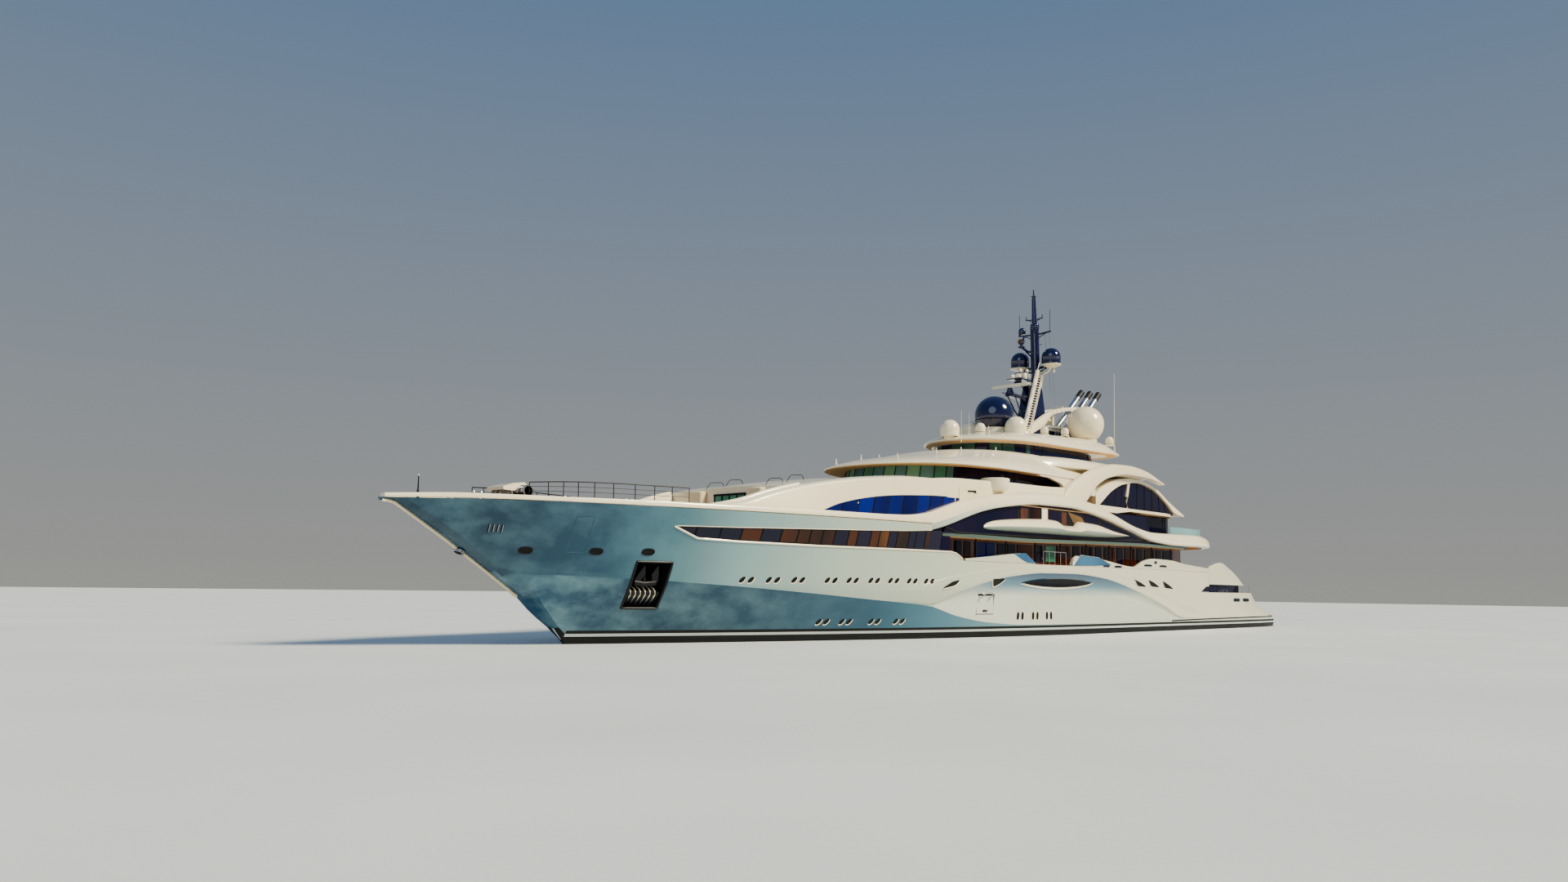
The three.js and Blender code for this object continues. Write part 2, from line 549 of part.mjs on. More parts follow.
const sunDeck = tower([
  { z: 15.6, nose: 3.5, tail: -21.6, half: 8.6, noseLength: 13, tailLength: 4, power: 2.6 },
  { z: 16.3, nose: 3, tail: -21.6, half: 8.5, noseLength: 13, tailLength: 4, power: 2.6 },
  { z: SUN_DECK - 0.01, nose: 2, tail: -21, half: 7.9, noseLength: 13, tailLength: 4, power: 2.6 },
]);
// Flanks that close the roof's edge down to the bulwarks behind the windows
const flankLow = straight([[2.4, 14.35], [0.6, 14.3], [-1.5, 13.9], [-2.4, 13.2], [-8, 13.2]]);
const flanks = SIDES.map(([, side]) => ribbon({
  stations: [2.4, 0.6, -1.5, -2.4, -5, -8], low: flankLow, high: () => 14.55, side,
  outer: () => 8.55, depth: 0.3, section: [[0, 0], [0, 1], [1, 1], [1, 0]],
}));
add("bridge_roof", join(sunDeck, ...flanks, tower([
  { z: 14.27, nose: 17, tail: -7, half: 7.7, noseLength: 12, power: 2.4 },
  { z: 14.4, nose: 18.1, tail: -7.6, half: 8.6, noseLength: 13, power: 2.4 },
  { z: 14.6, nose: 18, tail: -8, half: 8.6, noseLength: 13, power: 2.4 },
  { z: 15.3, nose: 15.5, tail: -8.6, half: 8, noseLength: 12, power: 2.4 },
  { z: 15.9, nose: 12, tail: -9.4, half: 7.2, noseLength: 11, power: 2.4 },
  { z: SUN_DECK, nose: 8, tail: -16, half: 6.2, noseLength: 9, power: 2.4 },
])), whitePaint);
const bulwarkHigh = smooth([[16.3, 12.95], [12, 13.15], [8, 13.35], [4, 13.6], [0, 13.85], [-1, 13.87]]);
for (const [name, side] of SIDES) {
  const bulwark = ribbon({
    stations: spread(16.3, -0.7, 7), low: () => BRIDGE_DECK + GAP, high: bulwarkHigh, side,
    outer: () => INNER_SIDE - GAP, depth: 0.4,
  });
  const wing = rod([10.5, side * 8.95, BRIDGE_DECK + GAP], [10.5, side * 8.95, 13.4], 1.15, 1.3, 20);
  add(`bridge_bulwark_${name}`, join(bulwark, wing), whitePaint);
}

// Lounge under its arched roof, and the outer arches
const fanTop = smooth([
  [-8.9, 12.4], [-9.6, 12.83], [-11.6, 14], [-14.1, 14.83], [-17.4, 15.2], [-20.8, 14.79], [-24.3, 13.42],
  [-26.1, 12.55], [-28.5, 12.31],
]);
const fanRoof = smooth([
  [-6.8, 12.5], [-8, 13.4], [-10.8, 14.75], [-13.5, 15.35], [-16, 15.55], [-19, 15.4], [-21.5, 14.95],
  [-24.5, 13.8], [-28.5, 12.45],
]);
const loungeHalf = 8.5;
const LOUNGE_STATIONS = [
  -9.7, -10.5, -11.6, -12.8, -14.1, -15.7, -17.4, -19.1, -20.8, -22.6, -24.3, -25.2, -26,
];
add("lounge", block(
  LOUNGE_STATIONS,
  () => loungeHalf - 0.25, () => BRIDGE_DECK + GAP, (x) => fanTop(x) - GAP,
), darkGlass);
add("lounge_roof", block(
  [-8.2, -9, ...LOUNGE_STATIONS, -27.4, -28.4],
  () => loungeHalf, (x) => Math.max(fanTop(x), BRIDGE_DECK + GAP), (x) => fanRoof(x),
), whitePaint);
const outerHigh = smooth([
  [-0.7, 12.55], [-1.4, 13.3], [-3.4, 14.5], [-5.9, 15.5], [-8.9, 16.3], [-11.3, 16.6], [-14.5, 16.72],
  [-17.6, 16.5], [-22, 15.4],
]);
const outerLow = smooth([
  [-0.7, 12.34], [-4.8, 12.34], [-5.9, 13.1], [-7.4, 14.2], [-9.8, 15.1], [-13.5, 15.65], [-17.4, 15.7],
  [-22, 15.25],
]);
for (const [name, side] of SIDES) {
  add(`outer_arch_${name}`, ribbon({
    stations: [-0.75, -1.4, -2.4, -3.4, -4.8, -5.9, -7.4, -9, -11, -13, -15, -17, -19, -20.6, -21.8],
    low: outerLow, high: outerHigh, side, outer: () => 9.3, depth: 0.64, section: ROUND_BAND,
  }), whitePaint);
}

// Top house and roof
add("top_house", tower([
  { z: SUN_DECK + GAP, nose: 3.4, tail: -15.5, half: 5.5, noseLength: 8, power: 2.3 },
  { z: 17.66, nose: 3.2, tail: -15.5, half: 5.3, noseLength: 8, power: 2.3 },
]), darkGlass);
const tailLift = (z) => (x) => Math.max(-10 - x, 0) * 0.05 * (TOP_ROOF - z);
add("top_roof", tower([
  { z: 17.67, nose: 3.8, tail: -20, half: 5.7, noseLength: 9, tailLength: 6, power: 2.3 },
  { z: 17.85, nose: 4.7, tail: -22.6, half: 6.3, noseLength: 10, tailLength: 8, power: 2.3 },
  { z: 18.1, nose: 4.6, tail: -22.5, half: 6.2, noseLength: 10, tailLength: 8, power: 2.3 },
  { z: 18.35, nose: 3.9, tail: -20.8, half: 5.9, noseLength: 9, tailLength: 7, power: 2.3 },
  { z: 18.6, nose: 2.9, tail: -19, half: 5.5, noseLength: 8, tailLength: 6, power: 2.3 },
  { z: TOP_ROOF, nose: 0.8, tail: -18, half: 4.4, noseLength: 7, tailLength: 5, power: 2.3 },
].map((level) => ({ ...level, lift: tailLift(level.z) }))), whitePaint);

// Wing bulwarks and quarter bulwarks
const wingHigh = smooth([[16.2, 6.45], [14.1, 6.61], [10, 6.98], [7.8, 7.13], [7, 6.95], [5.7, 6.3]]);
const quarterHigh = smooth([
  [-0.6, 6.4], [-1.6, 7.2], [-6.4, 7], [-13, 6.45], [-15.5, 7.15], [-17.5, 7.38], [-21.4, 7.34],
  [-24.8, 7.04], [-30.6, 6.73],
]);
const finHigh = smooth([[-31.2, 6.85], [-34.6, 7.4], [-37.8, 6.65], [-39.7, 5.95], [-41.8, 4.98]]);
const finLow = smooth([[-31.2, 4.95], [-41.8, 4.9]]);
for (const [name, side] of SIDES) {
  add(`wing_bulwark_${name}`, ribbon({
    stations: [16.2, 14.5, 12, 10, 8.6, 7.8, 7.1, 6.4, 5.8], low: () => MAIN_DECK + GAP, high: wingHigh, side,
    outer: (x) => sideAt(x, MAIN_DECK) - 0.02, depth: 0.35,
  }), hullPaint);
  const quarter = ribbon({
    stations: [-0.8, -1.6, -4, -6.4, -9, -11.5, -13, -14.2, -15.5, -17.5, -19.5, -21.4, -24.8, -28, -31.5],
    low: () => MAIN_DECK + GAP, high: quarterHigh, side,
    outer: (x) => sideAt(x, MAIN_DECK) - 0.02, depth: 0.35,
  });
  const fin = ribbon({
    stations: [-31.31, -33, -34.6, -36.2, -37.8, -39.7, -41, -41.8], low: finLow, high: finHigh, side,
    outer: (x) => sideAt(x, 6) - 0.005, depth: 0.4,
  });
  add(`quarter_bulwark_${name}`, join(quarter, fin), hullPaint);
}
add("stern_windows", block(
  [-31.4, -34, -37, -39.5, -40.5], (x) => sideAt(x, 5) - 0.15, () => STERN_DECK + GAP, () => 4.9 - 2 * GAP,
), darkGlass);

// Domes on the top roof, on beds that follow it
const ROOF_FOOT = TOP_ROOF + GAP;
const BED = 0.12;
const bedBox = (x, y, length, width) => box(x, y, ROOF_FOOT + BED / 2, length, width, BED);
const NAVY = { x: -3.4, foot: 20.15, r: 1.94, stand: 1.4 };
add("dome_navy", dome(NAVY.x, 0, NAVY.foot + GAP, NAVY.r, BALL_DOME), navyPaint);
const noseRoof = [[0.4, TOP_ROOF], [0.8, TOP_ROOF], [2.9, 18.6], [3.9, 18.35], [4.5, 18.15]];
const noseBed = loft(noseRoof.map(([x, roof]) => [
  [x, 0.6, roof + 0.01], [x, 0.6, roof + BED], [x, -0.6, roof + BED], [x, -0.6, roof + 0.01],
]));
// White domes: x, y, foot, radius, form
const WHITE_DOMES = [
  [3.9, 0, 18.61, 0.93, DRUM_DOME], [-3.1, 2.65, ROOF_FOOT + 0.06, 1.08, DRUM_DOME],
  [-3.1, -2.65, ROOF_FOOT + 0.06, 1.08, DRUM_DOME], [-16.6, 2.9, 19.88, 1.95, FULL_BALL],
  [-16.6, -2.9, 19.88, 1.95, FULL_BALL],
];
const domeSet = WHITE_DOMES.map(([x, y, foot, r, form]) => dome(x, y, foot, r, form));
const domeBeds = [
  noseBed, bedBox(-0.9, 0, 3.2, 1.2), bedBox(NAVY.x, 0, 2.4, 5.6),
  rod([NAVY.x, 0, ROOF_FOOT + 0.05], [NAVY.x, 0, NAVY.foot], NAVY.stand, NAVY.stand, 20),
];
for (const [, side] of SIDES) {
  domeBeds.push(bedBox(-9.9, side * 2.75, 15.6, 0.9));
  domeBeds.push(rod([-16.6, side * 2.9, ROOF_FOOT + 0.05], [-16.6, side * 2.9, 20.1], 0.9, 0.9, 16));
}
add("dome_set", join(...domeBeds, ...domeSet), whitePaint);

// Mast: its trunk with the radar's bracket, rows of height, length along the ship, half-width
const TRUNK_X = -9.9;
const mastTrunk = loft([
  [ROOF_FOOT, 3.8, 1.25], [22, 3.1, 1], [25.2, 2.1, 0.66],
].map(([z, length, width]) => {
  const middle = mix(TRUNK_X, TRUNK_X - 0.6, (z - ROOF_FOOT) / (25.2 - ROOF_FOOT));
  return [
    [middle - length / 2, width, z], [middle + length / 2, width * 0.6, z],
    [middle + length / 2, -width * 0.6, z], [middle - length / 2, -width, z],
  ];
}));
const RADAR = { x: -6.3, z: 24.75, length: 4.3 };
add("mast_trunk", join(
  mastTrunk, box(-7.9, 0, 23.75, 4.2, 0.6, 0.3), rod([RADAR.x, 0, 23.8], [RADAR.x, 0, RADAR.z - 0.22], 0.26),
), navyPaint);
add("radar_scanner", box(RADAR.x, 0, RADAR.z, 0.35, RADAR.length, 0.3), whitePaint);

// Mast pole with its cross arms and their domes
const POLE = { low: [-11.4, 0, 25.24], middle: [-11.15, 0, 32], high: [-10.9, 0, 35.6] };
const poleX = (z) => mix(POLE.low[0], POLE.high[0], (z - POLE.low[2]) / (POLE.high[2] - POLE.low[2]));
const poleParts = [
  rod(POLE.low, POLE.middle, 0.5, 0.42, 12), rod(POLE.middle.with(2, 31.9), POLE.high, 0.26, 0.12, 10),
];
const CROSS_ARMS = [[27.1, 2.3, 0.16], [30.9, 1.9, 0.11], [32.6, 1, 0.08]]; // height, reach, radius
for (const [z, reach, r] of CROSS_ARMS) {
  poleParts.push(rod([poleX(z), -reach, z], [poleX(z), reach, z], r, r, 8));
}
for (const [, side] of SIDES) poleParts.push(dome(poleX(27.1), side * 1.8, 27.2, 0.98, DRUM_DOME));
poleParts.push(dome(poleX(30.9), -1.5, 30.9, 0.38, DRUM_DOME));
poleParts.push(rod([poleX(30.9), 0, 30.9], [poleX(30.9) + 1, 0.7, 30.9], 0.1, 0.1, 8));
poleParts.push(dome(poleX(30.9) + 1, 0.7, 30.9, 0.38, DRUM_DOME));
poleParts.push(rod([-11.2, 0, 28.95], [-8.5, 0, 29.1], 0.12, 0.12, 8));
poleParts.push(rod([-8.5, 0, 29.05], [-8.5, 0, 29.9], 0.3, 0.3, 10));
add("mast_pole", join(...poleParts), navyPaint);

// Ladder to the mast, leaning aft against the trunk's port side
const LADDER = { foot: [-5.8, 1.75], head: [-10.3, 0.95], low: ROOF_FOOT, high: 26.8 };
const ladderRail = (forward, wide) => loft([0, 1].map((t) => {
  const x = mix(LADDER.foot[0], LADDER.head[0], t) + forward;
  const y = mix(LADDER.foot[1], LADDER.head[1], t);
  const z = mix(LADDER.low, LADDER.high, t);
  return [[x, y, z], [x, y + 0.25, z], [x - wide, y + 0.25, z], [x - wide, y, z]];
}));
const rungs = spread(0.04, 0.97, 20).map((t) => {
  const x = mix(LADDER.foot[0], LADDER.head[0], t);
  const y = mix(LADDER.foot[1], LADDER.head[1], t) + 0.12;
  const z = mix(LADDER.low, LADDER.high, t);
  return box(x - 0.3, y, z, 1, 0.12, 0.08);
});
add("mast_ladder", join(ladderRail(0.55, 0.5), ladderRail(-0.75, 0.2), ...rungs), whitePaint);

// Exhaust casing with the arm that carries the stacks: rows of x, low, high, inner y, outer y
const casing = loft([[ROOF_FOOT, -13.6, -17.6], [21.2, -13.9, -20.1]].map(([z, fore, aft]) => (
  [[fore, 0.75, z], [fore, -0.75, z], [aft, -0.75, z], [aft, 0.75, z]]
)));
const ARM_ROWS = [
  [-8.6, 20.2, 20.75, 1.35, 1.65], [-10, 20.62, 21.4, 1.32, 1.62], [-11.6, 21.2, 22, 1.1, 1.4],
  [-13, 22, 22.75, 0.72, 1], [-14.7, 22.7, 23.36, 0.42, 0.7], [-17.6, 23.4, 24.05, 0.42, 0.7],
  [-20, 23.7, 24.2, 0.42, 0.7], [-23.2, 23.9, 24.2, 0.42, 0.7],
];
const armSides = SIDES.map(([, side]) => loft(ARM_ROWS.map(([x, low, high, inner, outer]) => (
  [[x, side * inner, low], [x, side * outer, low], [x, side * outer, high], [x, side * inner, high]]
))));
add("exhaust_arm", join(
  casing, ...armSides, box(-12.4, 0, 21.9, 0.5, 2.2, 0.3), box(-14.1, 0, 21.9, 0.4, 1.1, 1.7),
), whitePaint);
// Stacks: x and z of the foot and the head of the foremost one, and the step to the next
const STACK = { foot: [-15.5, 21.5], head: [-21.2, 26.1], step: -1.95, rise: 0.15, r: 0.33 };
const stacks = [0, 1, 2].map((i) => rod(
  [STACK.foot[0] + i * STACK.step, 0, STACK.foot[1]],
  [STACK.head[0] + i * STACK.step, 0, STACK.head[1] + i * STACK.rise], STACK.r,
));
add("exhaust_stacks", join(box(-17.5, 0, 21.37, 4.9, 0.8, 0.32), ...stacks), steel);

// Propellers, shafts and brackets
const SHAFT_Y = 3.6;
const SHAFT_FROM = [-37, -2.9];  // x, z at the forward end
const SHAFT_TO = [-46.6, -3.7];  // x, z at the propeller
const PROPELLER_R = 1.55;
const shaftTilt = Math.atan2(SHAFT_TO[1] - SHAFT_FROM[1], SHAFT_FROM[0] - SHAFT_TO[0]);

// A screw about the X axis: hub and blades, centred at the origin.
function screw(r, hub, length, blades) {
  const parts = [rod([length / 2, 0, 0], [-length / 2, 0, 0], hub, hub * 0.7, 16)];
  // Rows of a blade: share of the radius, chord, pitch angle in degrees
  const rows = [[hub / r * 0.6, 0.3, 60], [0.45, 0.42, 46], [0.7, 0.46, 34], [0.9, 0.34, 27], [1, 0.12, 24]];
  for (let i = 0; i < blades; i += 1) {
    const turn = (i / blades) * 2 * Math.PI;
    const blade = loft(rows.map(([share, chord, pitch]) => {
      const angle = THREE.MathUtils.degToRad(pitch);
      const half = (chord * r) / 2;
      const thick = 0.03 * r * (1.25 - share);
      return [[half, 0], [0, thick], [-half, 0], [0, -thick]].map(([u, v]) => [
        u * Math.sin(angle) + v * Math.cos(angle), u * Math.cos(angle) - v * Math.sin(angle), share * r,
      ]);
    }));
    parts.push(blade.rotateX(turn));
  }
  return join(...parts);
}

for (const [name, side] of SIDES) {
  const y = side * SHAFT_Y;
  const hub = 0.42;
  const centre = new THREE.Vector3(SHAFT_TO[0] - 0.55, y, SHAFT_TO[1] - 0.04);
  const turned = screw(PROPELLER_R, hub, 1, 5).rotateY(-shaftTilt);
  add(`propeller_${name}`, moved(turned, centre.x, centre.y, centre.z), bronze);
  add(`shaft_${name}`, rod([SHAFT_FROM[0], y, SHAFT_FROM[1]], [SHAFT_TO[0], y, SHAFT_TO[1]], 0.2), steel);
  hullTools.push(rod(
    [SHAFT_FROM[0] + 1, y, SHAFT_FROM[1] + 0.07], [SHAFT_TO[0], y, SHAFT_TO[1]], 0.2 + PLAY,
  ));
  const bracketX = -44.6;
  const along = (bracketX - SHAFT_FROM[0]) / (SHAFT_TO[0] - SHAFT_FROM[0]);
  const bracketZ = mix(SHAFT_FROM[1], SHAFT_TO[1], along);
  const barrel = cut(
    rod([bracketX + 0.6, y, bracketZ], [bracketX - 0.6, y, bracketZ], 0.42),
    rod([bracketX + 1, y, bracketZ + 0.07], [bracketX - 1, y, bracketZ - 0.07], 0.2 + PLAY / 2),
  );
  const hullHere = bottomLine(bracketX);
  const strut = box(bracketX, y, (bracketZ + 0.3 + hullHere) / 2 + 0.1, 0.7, 0.22, hullHere - bracketZ - 0.1);
  hullTools.push(box(bracketX, y, hullHere + 0.15, 0.7 + 2 * GAP, 0.22 + 2 * GAP, 0.6));
  add(`shaft_bracket_${name}`, join(barrel, strut), steel);
}

// Rudders on upright stocks
const RUDDER_X = -51;
for (const [name, side] of SIDES) {
  const y = side * SHAFT_Y;
  const top = bottomLine(RUDDER_X) - 0.35;
  const foil = [[1.1, 0], [0.5, 0.2], [-0.4, 0.2], [-1.9, 0.03], [-1.9, -0.03], [-0.4, -0.2], [0.5, -0.2]];
  const blade = loft([[-4.6, 0.85], [top, 1]].map(([z, share]) => (
    foil.map(([u, v]) => [RUDDER_X + u * share, y + v, z])
  )));
  const stock = rod([RUDDER_X, y, top - 0.3], [RUDDER_X, y, top + 0.85], 0.18);
  add(`rudder_${name}`, join(blade, stock), antifouling);
  hullTools.push(rod([RUDDER_X, y, top - 0.5], [RUDDER_X, y, top + 1], 0.18 + PLAY));
}

// Stabiliser fins on stocks that slope down and out
const FIN_X = 4;
for (const [name, side] of SIDES) {
  const foil = [
    [0.9, 0], [0.4, 0.17], [-0.4, 0.15], [-1.3, 0.02], [-1.3, -0.02], [-0.4, -0.15], [0.4, -0.17],
  ];
  const blade = loft([[0.3, 1], [3, 0.7]].map(([out, share]) => foil.map(([u, v]) => [u * share, v, -out])));
  const stock = rod([0, 0, 0.9], [0, 0, -0.6], 0.2);
  const fin = join(blade, stock).rotateX(side * 0.75);
  add(`fin_${name}`, moved(fin, FIN_X, side * 9.15, -4.3), antifouling);
  const bore = rod([0, 0, 1.1], [0, 0, -0.9], 0.2 + PLAY).rotateX(side * 0.75);
  hullTools.push(moved(bore, FIN_X, side * 9.15, -4.3));
}

// Bow thruster in its tunnel
const THRUSTER = [39.5, -2.9]; // x, z
const TUNNEL_R = 1.05;
hullTools.push(rod([THRUSTER[0], -8, THRUSTER[1]], [THRUSTER[0], 8, THRUSTER[1]], TUNNEL_R, TUNNEL_R, 20));
const rotor = screw(TUNNEL_R - PLAY - 0.02, 0.22, 0.5, 4).rotateZ(Math.PI / 2);
add("bow_thruster", moved(rotor, THRUSTER[0], 0, THRUSTER[1]), bronze);

// Anchors in their pockets: pocket corners as x and z
const pocketRing = (y) => [[45.7, 5.45], [43.3, 5.45], [43.2, 2.4], [45.6, 2.4]].map(([x, z]) => [x, y, z]);
for (const [name, side] of SIDES) {
  hullTools.push(loft([2.2, 8].map((y) => pocketRing(side * y))));
  const shank = box(44.45, side * 2.75, 4.1, 0.3, 0.3, 2);
  const crown = box(44.45, side * 2.75, 3.1, 1.5, 0.5, 0.5);
  add(`anchor_${name}`, join(shank, crown), darkSteel);
}

// Side doors in the scoop, hinged along their heads, and their openings
const DOOR = { fore: 13.6, aft: 11.2, foot: 1.9, head: 3.6, headPlay: 0.13, thick: 0.08 };
for (const [name, side] of SIDES) {
  hullTools.push(box(
    (DOOR.fore + DOOR.aft) / 2, side * 9.6, (DOOR.foot + DOOR.head) / 2,
    DOOR.fore - DOOR.aft, 2.2, DOOR.head - DOOR.foot,
  ));
  add(`side_door_${name}`, ribbon({
    stations: [DOOR.fore - PLAY, (DOOR.fore + DOOR.aft) / 2, DOOR.aft + PLAY],
    low: () => DOOR.foot + PLAY, high: () => DOOR.head - DOOR.headPlay, side,
    outer: (x) => sideAt(x, 2.7) - 0.27, depth: DOOR.thick, section: [[0, 0], [0, 1], [1, 1], [1, 0]],
  }), hullPaint);
}

// Stern door in the slope between the stern deck and the swim platform, hinged along its head
const STERN_DOOR = { length: 3.8, half: 3, thick: 0.1, proud: 0.04, headPlay: 0.17 };
const slopeTilt = Math.atan2(STERN_DECK - PLATFORM, SLOPE_TOP - SLOPE_FOOT);
const onSlope = (geometry) => moved(
  geometry.rotateY(-slopeTilt), (SLOPE_TOP + SLOPE_FOOT) / 2, 0, (STERN_DECK + PLATFORM) / 2,
);
hullTools.push(onSlope(box(0, 0, 0, STERN_DOOR.length, 2 * STERN_DOOR.half, 0.8)));
add("stern_door", onSlope(box(
  (PLAY - STERN_DOOR.headPlay) / 2, 0, STERN_DOOR.proud - STERN_DOOR.thick / 2,
  STERN_DOOR.length - PLAY - STERN_DOOR.headPlay, 2 * (STERN_DOOR.half - PLAY), STERN_DOOR.thick,
)), hullPaint);

// Engines: one plain block in its closed space, with a vent down through the bottom
const ENGINE = { x: -22, length: 9, width: 7, height: 3.4, z: -2.2 };
const engineBlock = (spare) => box(
  ENGINE.x, 0, ENGINE.z, ENGINE.length + spare, ENGINE.width + spare, ENGINE.height + spare,
);
hullTools.push(engineBlock(0.02), rod([ENGINE.x, 0, ENGINE.z], [ENGINE.x, 0, -6], 0.1));
add("engines", engineBlock(0), darkSteel);

// Skeg ahead of the propellers
const skeg = loft([[-24, -5, -5.2], [-34, -4, -5.3], [-42, -2.6, -5.2]].map(([x, high, low]) => (
  [[x, 0.18, high], [x, -0.18, high], [x, -0.18, low], [x, 0.18, low]]
)));
add("hull", cut(join(hullBody, bulb, skeg), ...hullTools), hullPaint);

// Foredeck gear
const DECK_FOOT = FOREDECK + GAP;
const windlassParts = [box(52.5, 0, DECK_FOOT + 0.1, 2, 4.4, 0.2)];
for (const [, side] of SIDES) {
  windlassParts.push(box(52.5, side * 1.15, DECK_FOOT + 0.35, 0.5, 0.5, 0.5));
  windlassParts.push(rod([52.5, side * 0.6, DECK_FOOT + 0.72], [52.5, side * 1.8, DECK_FOOT + 0.72], 0.4));
}
add("windlasses", join(...windlassParts), steel);
add("fore_hatch", box(48, 0, DECK_FOOT + 0.16, 1.6, 1.6, 0.16), whitePaint);
add("jackstaff", rod([59, 0, 8.9], [59, 0, 10.3], 0.06, 0.04, 8), darkSteel);

// Foredeck rails: three lines on posts along the sheer band
const RAIL_TOP = 10.3;
const RAIL_POSTS = [53.4, 51.7, 50, 48.3, 46.6, 44.9, 43.2];
const RAIL_LINES = [0.36, 0.68, 1]; // share of the height from the band to the top rail
const RAIL_R = 0.035;
for (const [name, side] of SIDES) {
  const foot = (x) => bandHigh(x) + GAP;
  const railY = (x) => side * (deckEdge(x) - 0.3);
  const lines = RAIL_LINES.map((share) => loft(RAIL_POSTS.map((x) => {
    const z = mix(foot(x), RAIL_TOP, share);
    return [0, 60, 120, 180, 240, 300].map((degrees) => {
      const angle = THREE.MathUtils.degToRad(degrees);
      return [x, railY(x) + RAIL_R * Math.cos(angle), z + RAIL_R * Math.sin(angle)];
    });
  })));
  const posts = RAIL_POSTS.map((x) => (
    rod([x, railY(x), foot(x)], [x, railY(x), RAIL_TOP + 0.03], 0.06, 0.06, 6)
  ));
  add(`foredeck_rail_${name}`, join(...lines, ...posts), darkSteel);
}

export default yacht;
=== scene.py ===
"""Looks of a large motor yacht, a scale model at 1:10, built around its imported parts.

Tables hold full-size metres, x towards the bow, y to port, z up from the waterline.
METRE turns them into the model's metres.
"""

import math

import bmesh
import bpy
from mathutils import Matrix, Vector


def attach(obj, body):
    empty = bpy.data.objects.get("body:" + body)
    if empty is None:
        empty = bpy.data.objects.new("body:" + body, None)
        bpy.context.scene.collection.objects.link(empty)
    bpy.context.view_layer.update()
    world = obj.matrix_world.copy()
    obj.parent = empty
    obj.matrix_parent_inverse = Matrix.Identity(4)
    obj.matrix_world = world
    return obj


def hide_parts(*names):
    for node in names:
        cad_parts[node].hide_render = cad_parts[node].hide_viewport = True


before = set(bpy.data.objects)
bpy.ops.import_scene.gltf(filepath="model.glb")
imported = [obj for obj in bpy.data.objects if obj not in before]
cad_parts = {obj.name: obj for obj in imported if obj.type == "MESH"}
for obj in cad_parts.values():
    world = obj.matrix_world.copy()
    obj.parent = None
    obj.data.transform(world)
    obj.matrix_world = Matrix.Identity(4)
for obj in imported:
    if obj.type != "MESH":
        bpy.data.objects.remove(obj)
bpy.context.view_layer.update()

METRE = 0.1
SCOOP_FORE = 21.0
SCOOP_AFT = -27.0
SIDES = (("port", 1), ("starboard", -1))
BODY = "ship"


# Small helpers
def clamp(value, low=0.0, high=1.0):
    return min(max(value, low), high)


def mix(a, b, t):
    return a + (b - a) * t


def spread(start, end, count):
    return [mix(start, end, i / count) for i in range(count + 1)]


def circle(count):
    """The cosine and sine of even steps around a full turn."""
    return [(math.cos(math.tau * k / count), math.sin(math.tau * k / count)) for k in range(count)]


def middle(outline):
    """The mean of an outline's corners."""
    return [sum(column) / len(outline) for column in zip(*outline)]


def row_before(rows, x):
    """The index of the row that opens the stretch holding x, where x falls from row to row."""
    for i in range(1, len(rows)):
        if rows[i][0] <= x:
            return i - 1
    return len(rows) - 2


def straight(rows):
    """Straight lines through rows of (x, value), with x falling."""
    def at(x):
        x = clamp(x, rows[-1][0], rows[0][0])
        (x0, v0), (x1, v1) = rows[row_before(rows, x):][:2]
        return mix(v0, v1, (x - x0) / (x1 - x0))
    return at


def smooth(rows):
    """A smooth curve through rows of (x, value), with x falling; it never overshoots its rows."""
    rises = [(b[1] - a[1]) / (b[0] - a[0]) for a, b in zip(rows, rows[1:])]
    slopes = [rises[0]]
    for before, after in zip(rises, rises[1:]):
        slopes.append(0.0 if before * after <= 0 else 2 * before * after / (before + after))
    slopes.append(rises[-1])

    def at(x):
        x = clamp(x, rows[-1][0], rows[0][0])
        i = row_before(rows, x)
        (x0, v0), (x1, v1) = rows[i], rows[i + 1]
        width = x1 - x0
        t = (x - x0) / width
        leave = t * (1 - t) ** 2 * width * slopes[i]
        arrive = t * t * (t - 1) * width * slopes[i + 1]
        return mix(v0, v1, t * t * (3 - 2 * t)) + leave + arrive
    return at


def curves(rows):
    """A smooth curve for each column of a table, over its first column."""
    marks, *columns = zip(*rows)
    return [smooth(list(zip(marks, column))) for column in columns]


# The camera at the photograph's viewing angle
CAMERA_AT = (93.45, 61.73, 3.78)
CAMERA_YAW = math.radians(-137.03)
CAMERA_PITCH = 0.0597
CAMERA_ROLL = 0.013
CAMERA_LENS = 26.18
CAMERA_SHIFT_Y = 0.0511


def add_camera():
    data = bpy.data.cameras.new("camera")
    data.lens = CAMERA_LENS
    data.sensor_width = 36.0
    data.shift_y = CAMERA_SHIFT_Y
    data.clip_start = 0.1
    data.clip_end = 500.0
    forward = Vector((
        math.cos(CAMERA_YAW) * math.cos(CAMERA_PITCH),
        math.sin(CAMERA_YAW) * math.cos(CAMERA_PITCH),
        math.sin(CAMERA_PITCH),
    ))
    right = Vector((math.sin(CAMERA_YAW), -math.cos(CAMERA_YAW), 0))
    up = right.cross(forward)
    turned_right = right * math.cos(CAMERA_ROLL) + up * math.sin(CAMERA_ROLL)
    turned_up = up * math.cos(CAMERA_ROLL) - right * math.sin(CAMERA_ROLL)
    axes = Matrix((turned_right, turned_up, -forward)).transposed().to_4x4()
    camera = bpy.data.objects.new("camera", data)
    camera.matrix_world = Matrix.Translation(Vector(CAMERA_AT) * METRE) @ axes
    bpy.context.scene.collection.objects.link(camera)
    bpy.context.scene.camera = camera


add_camera()


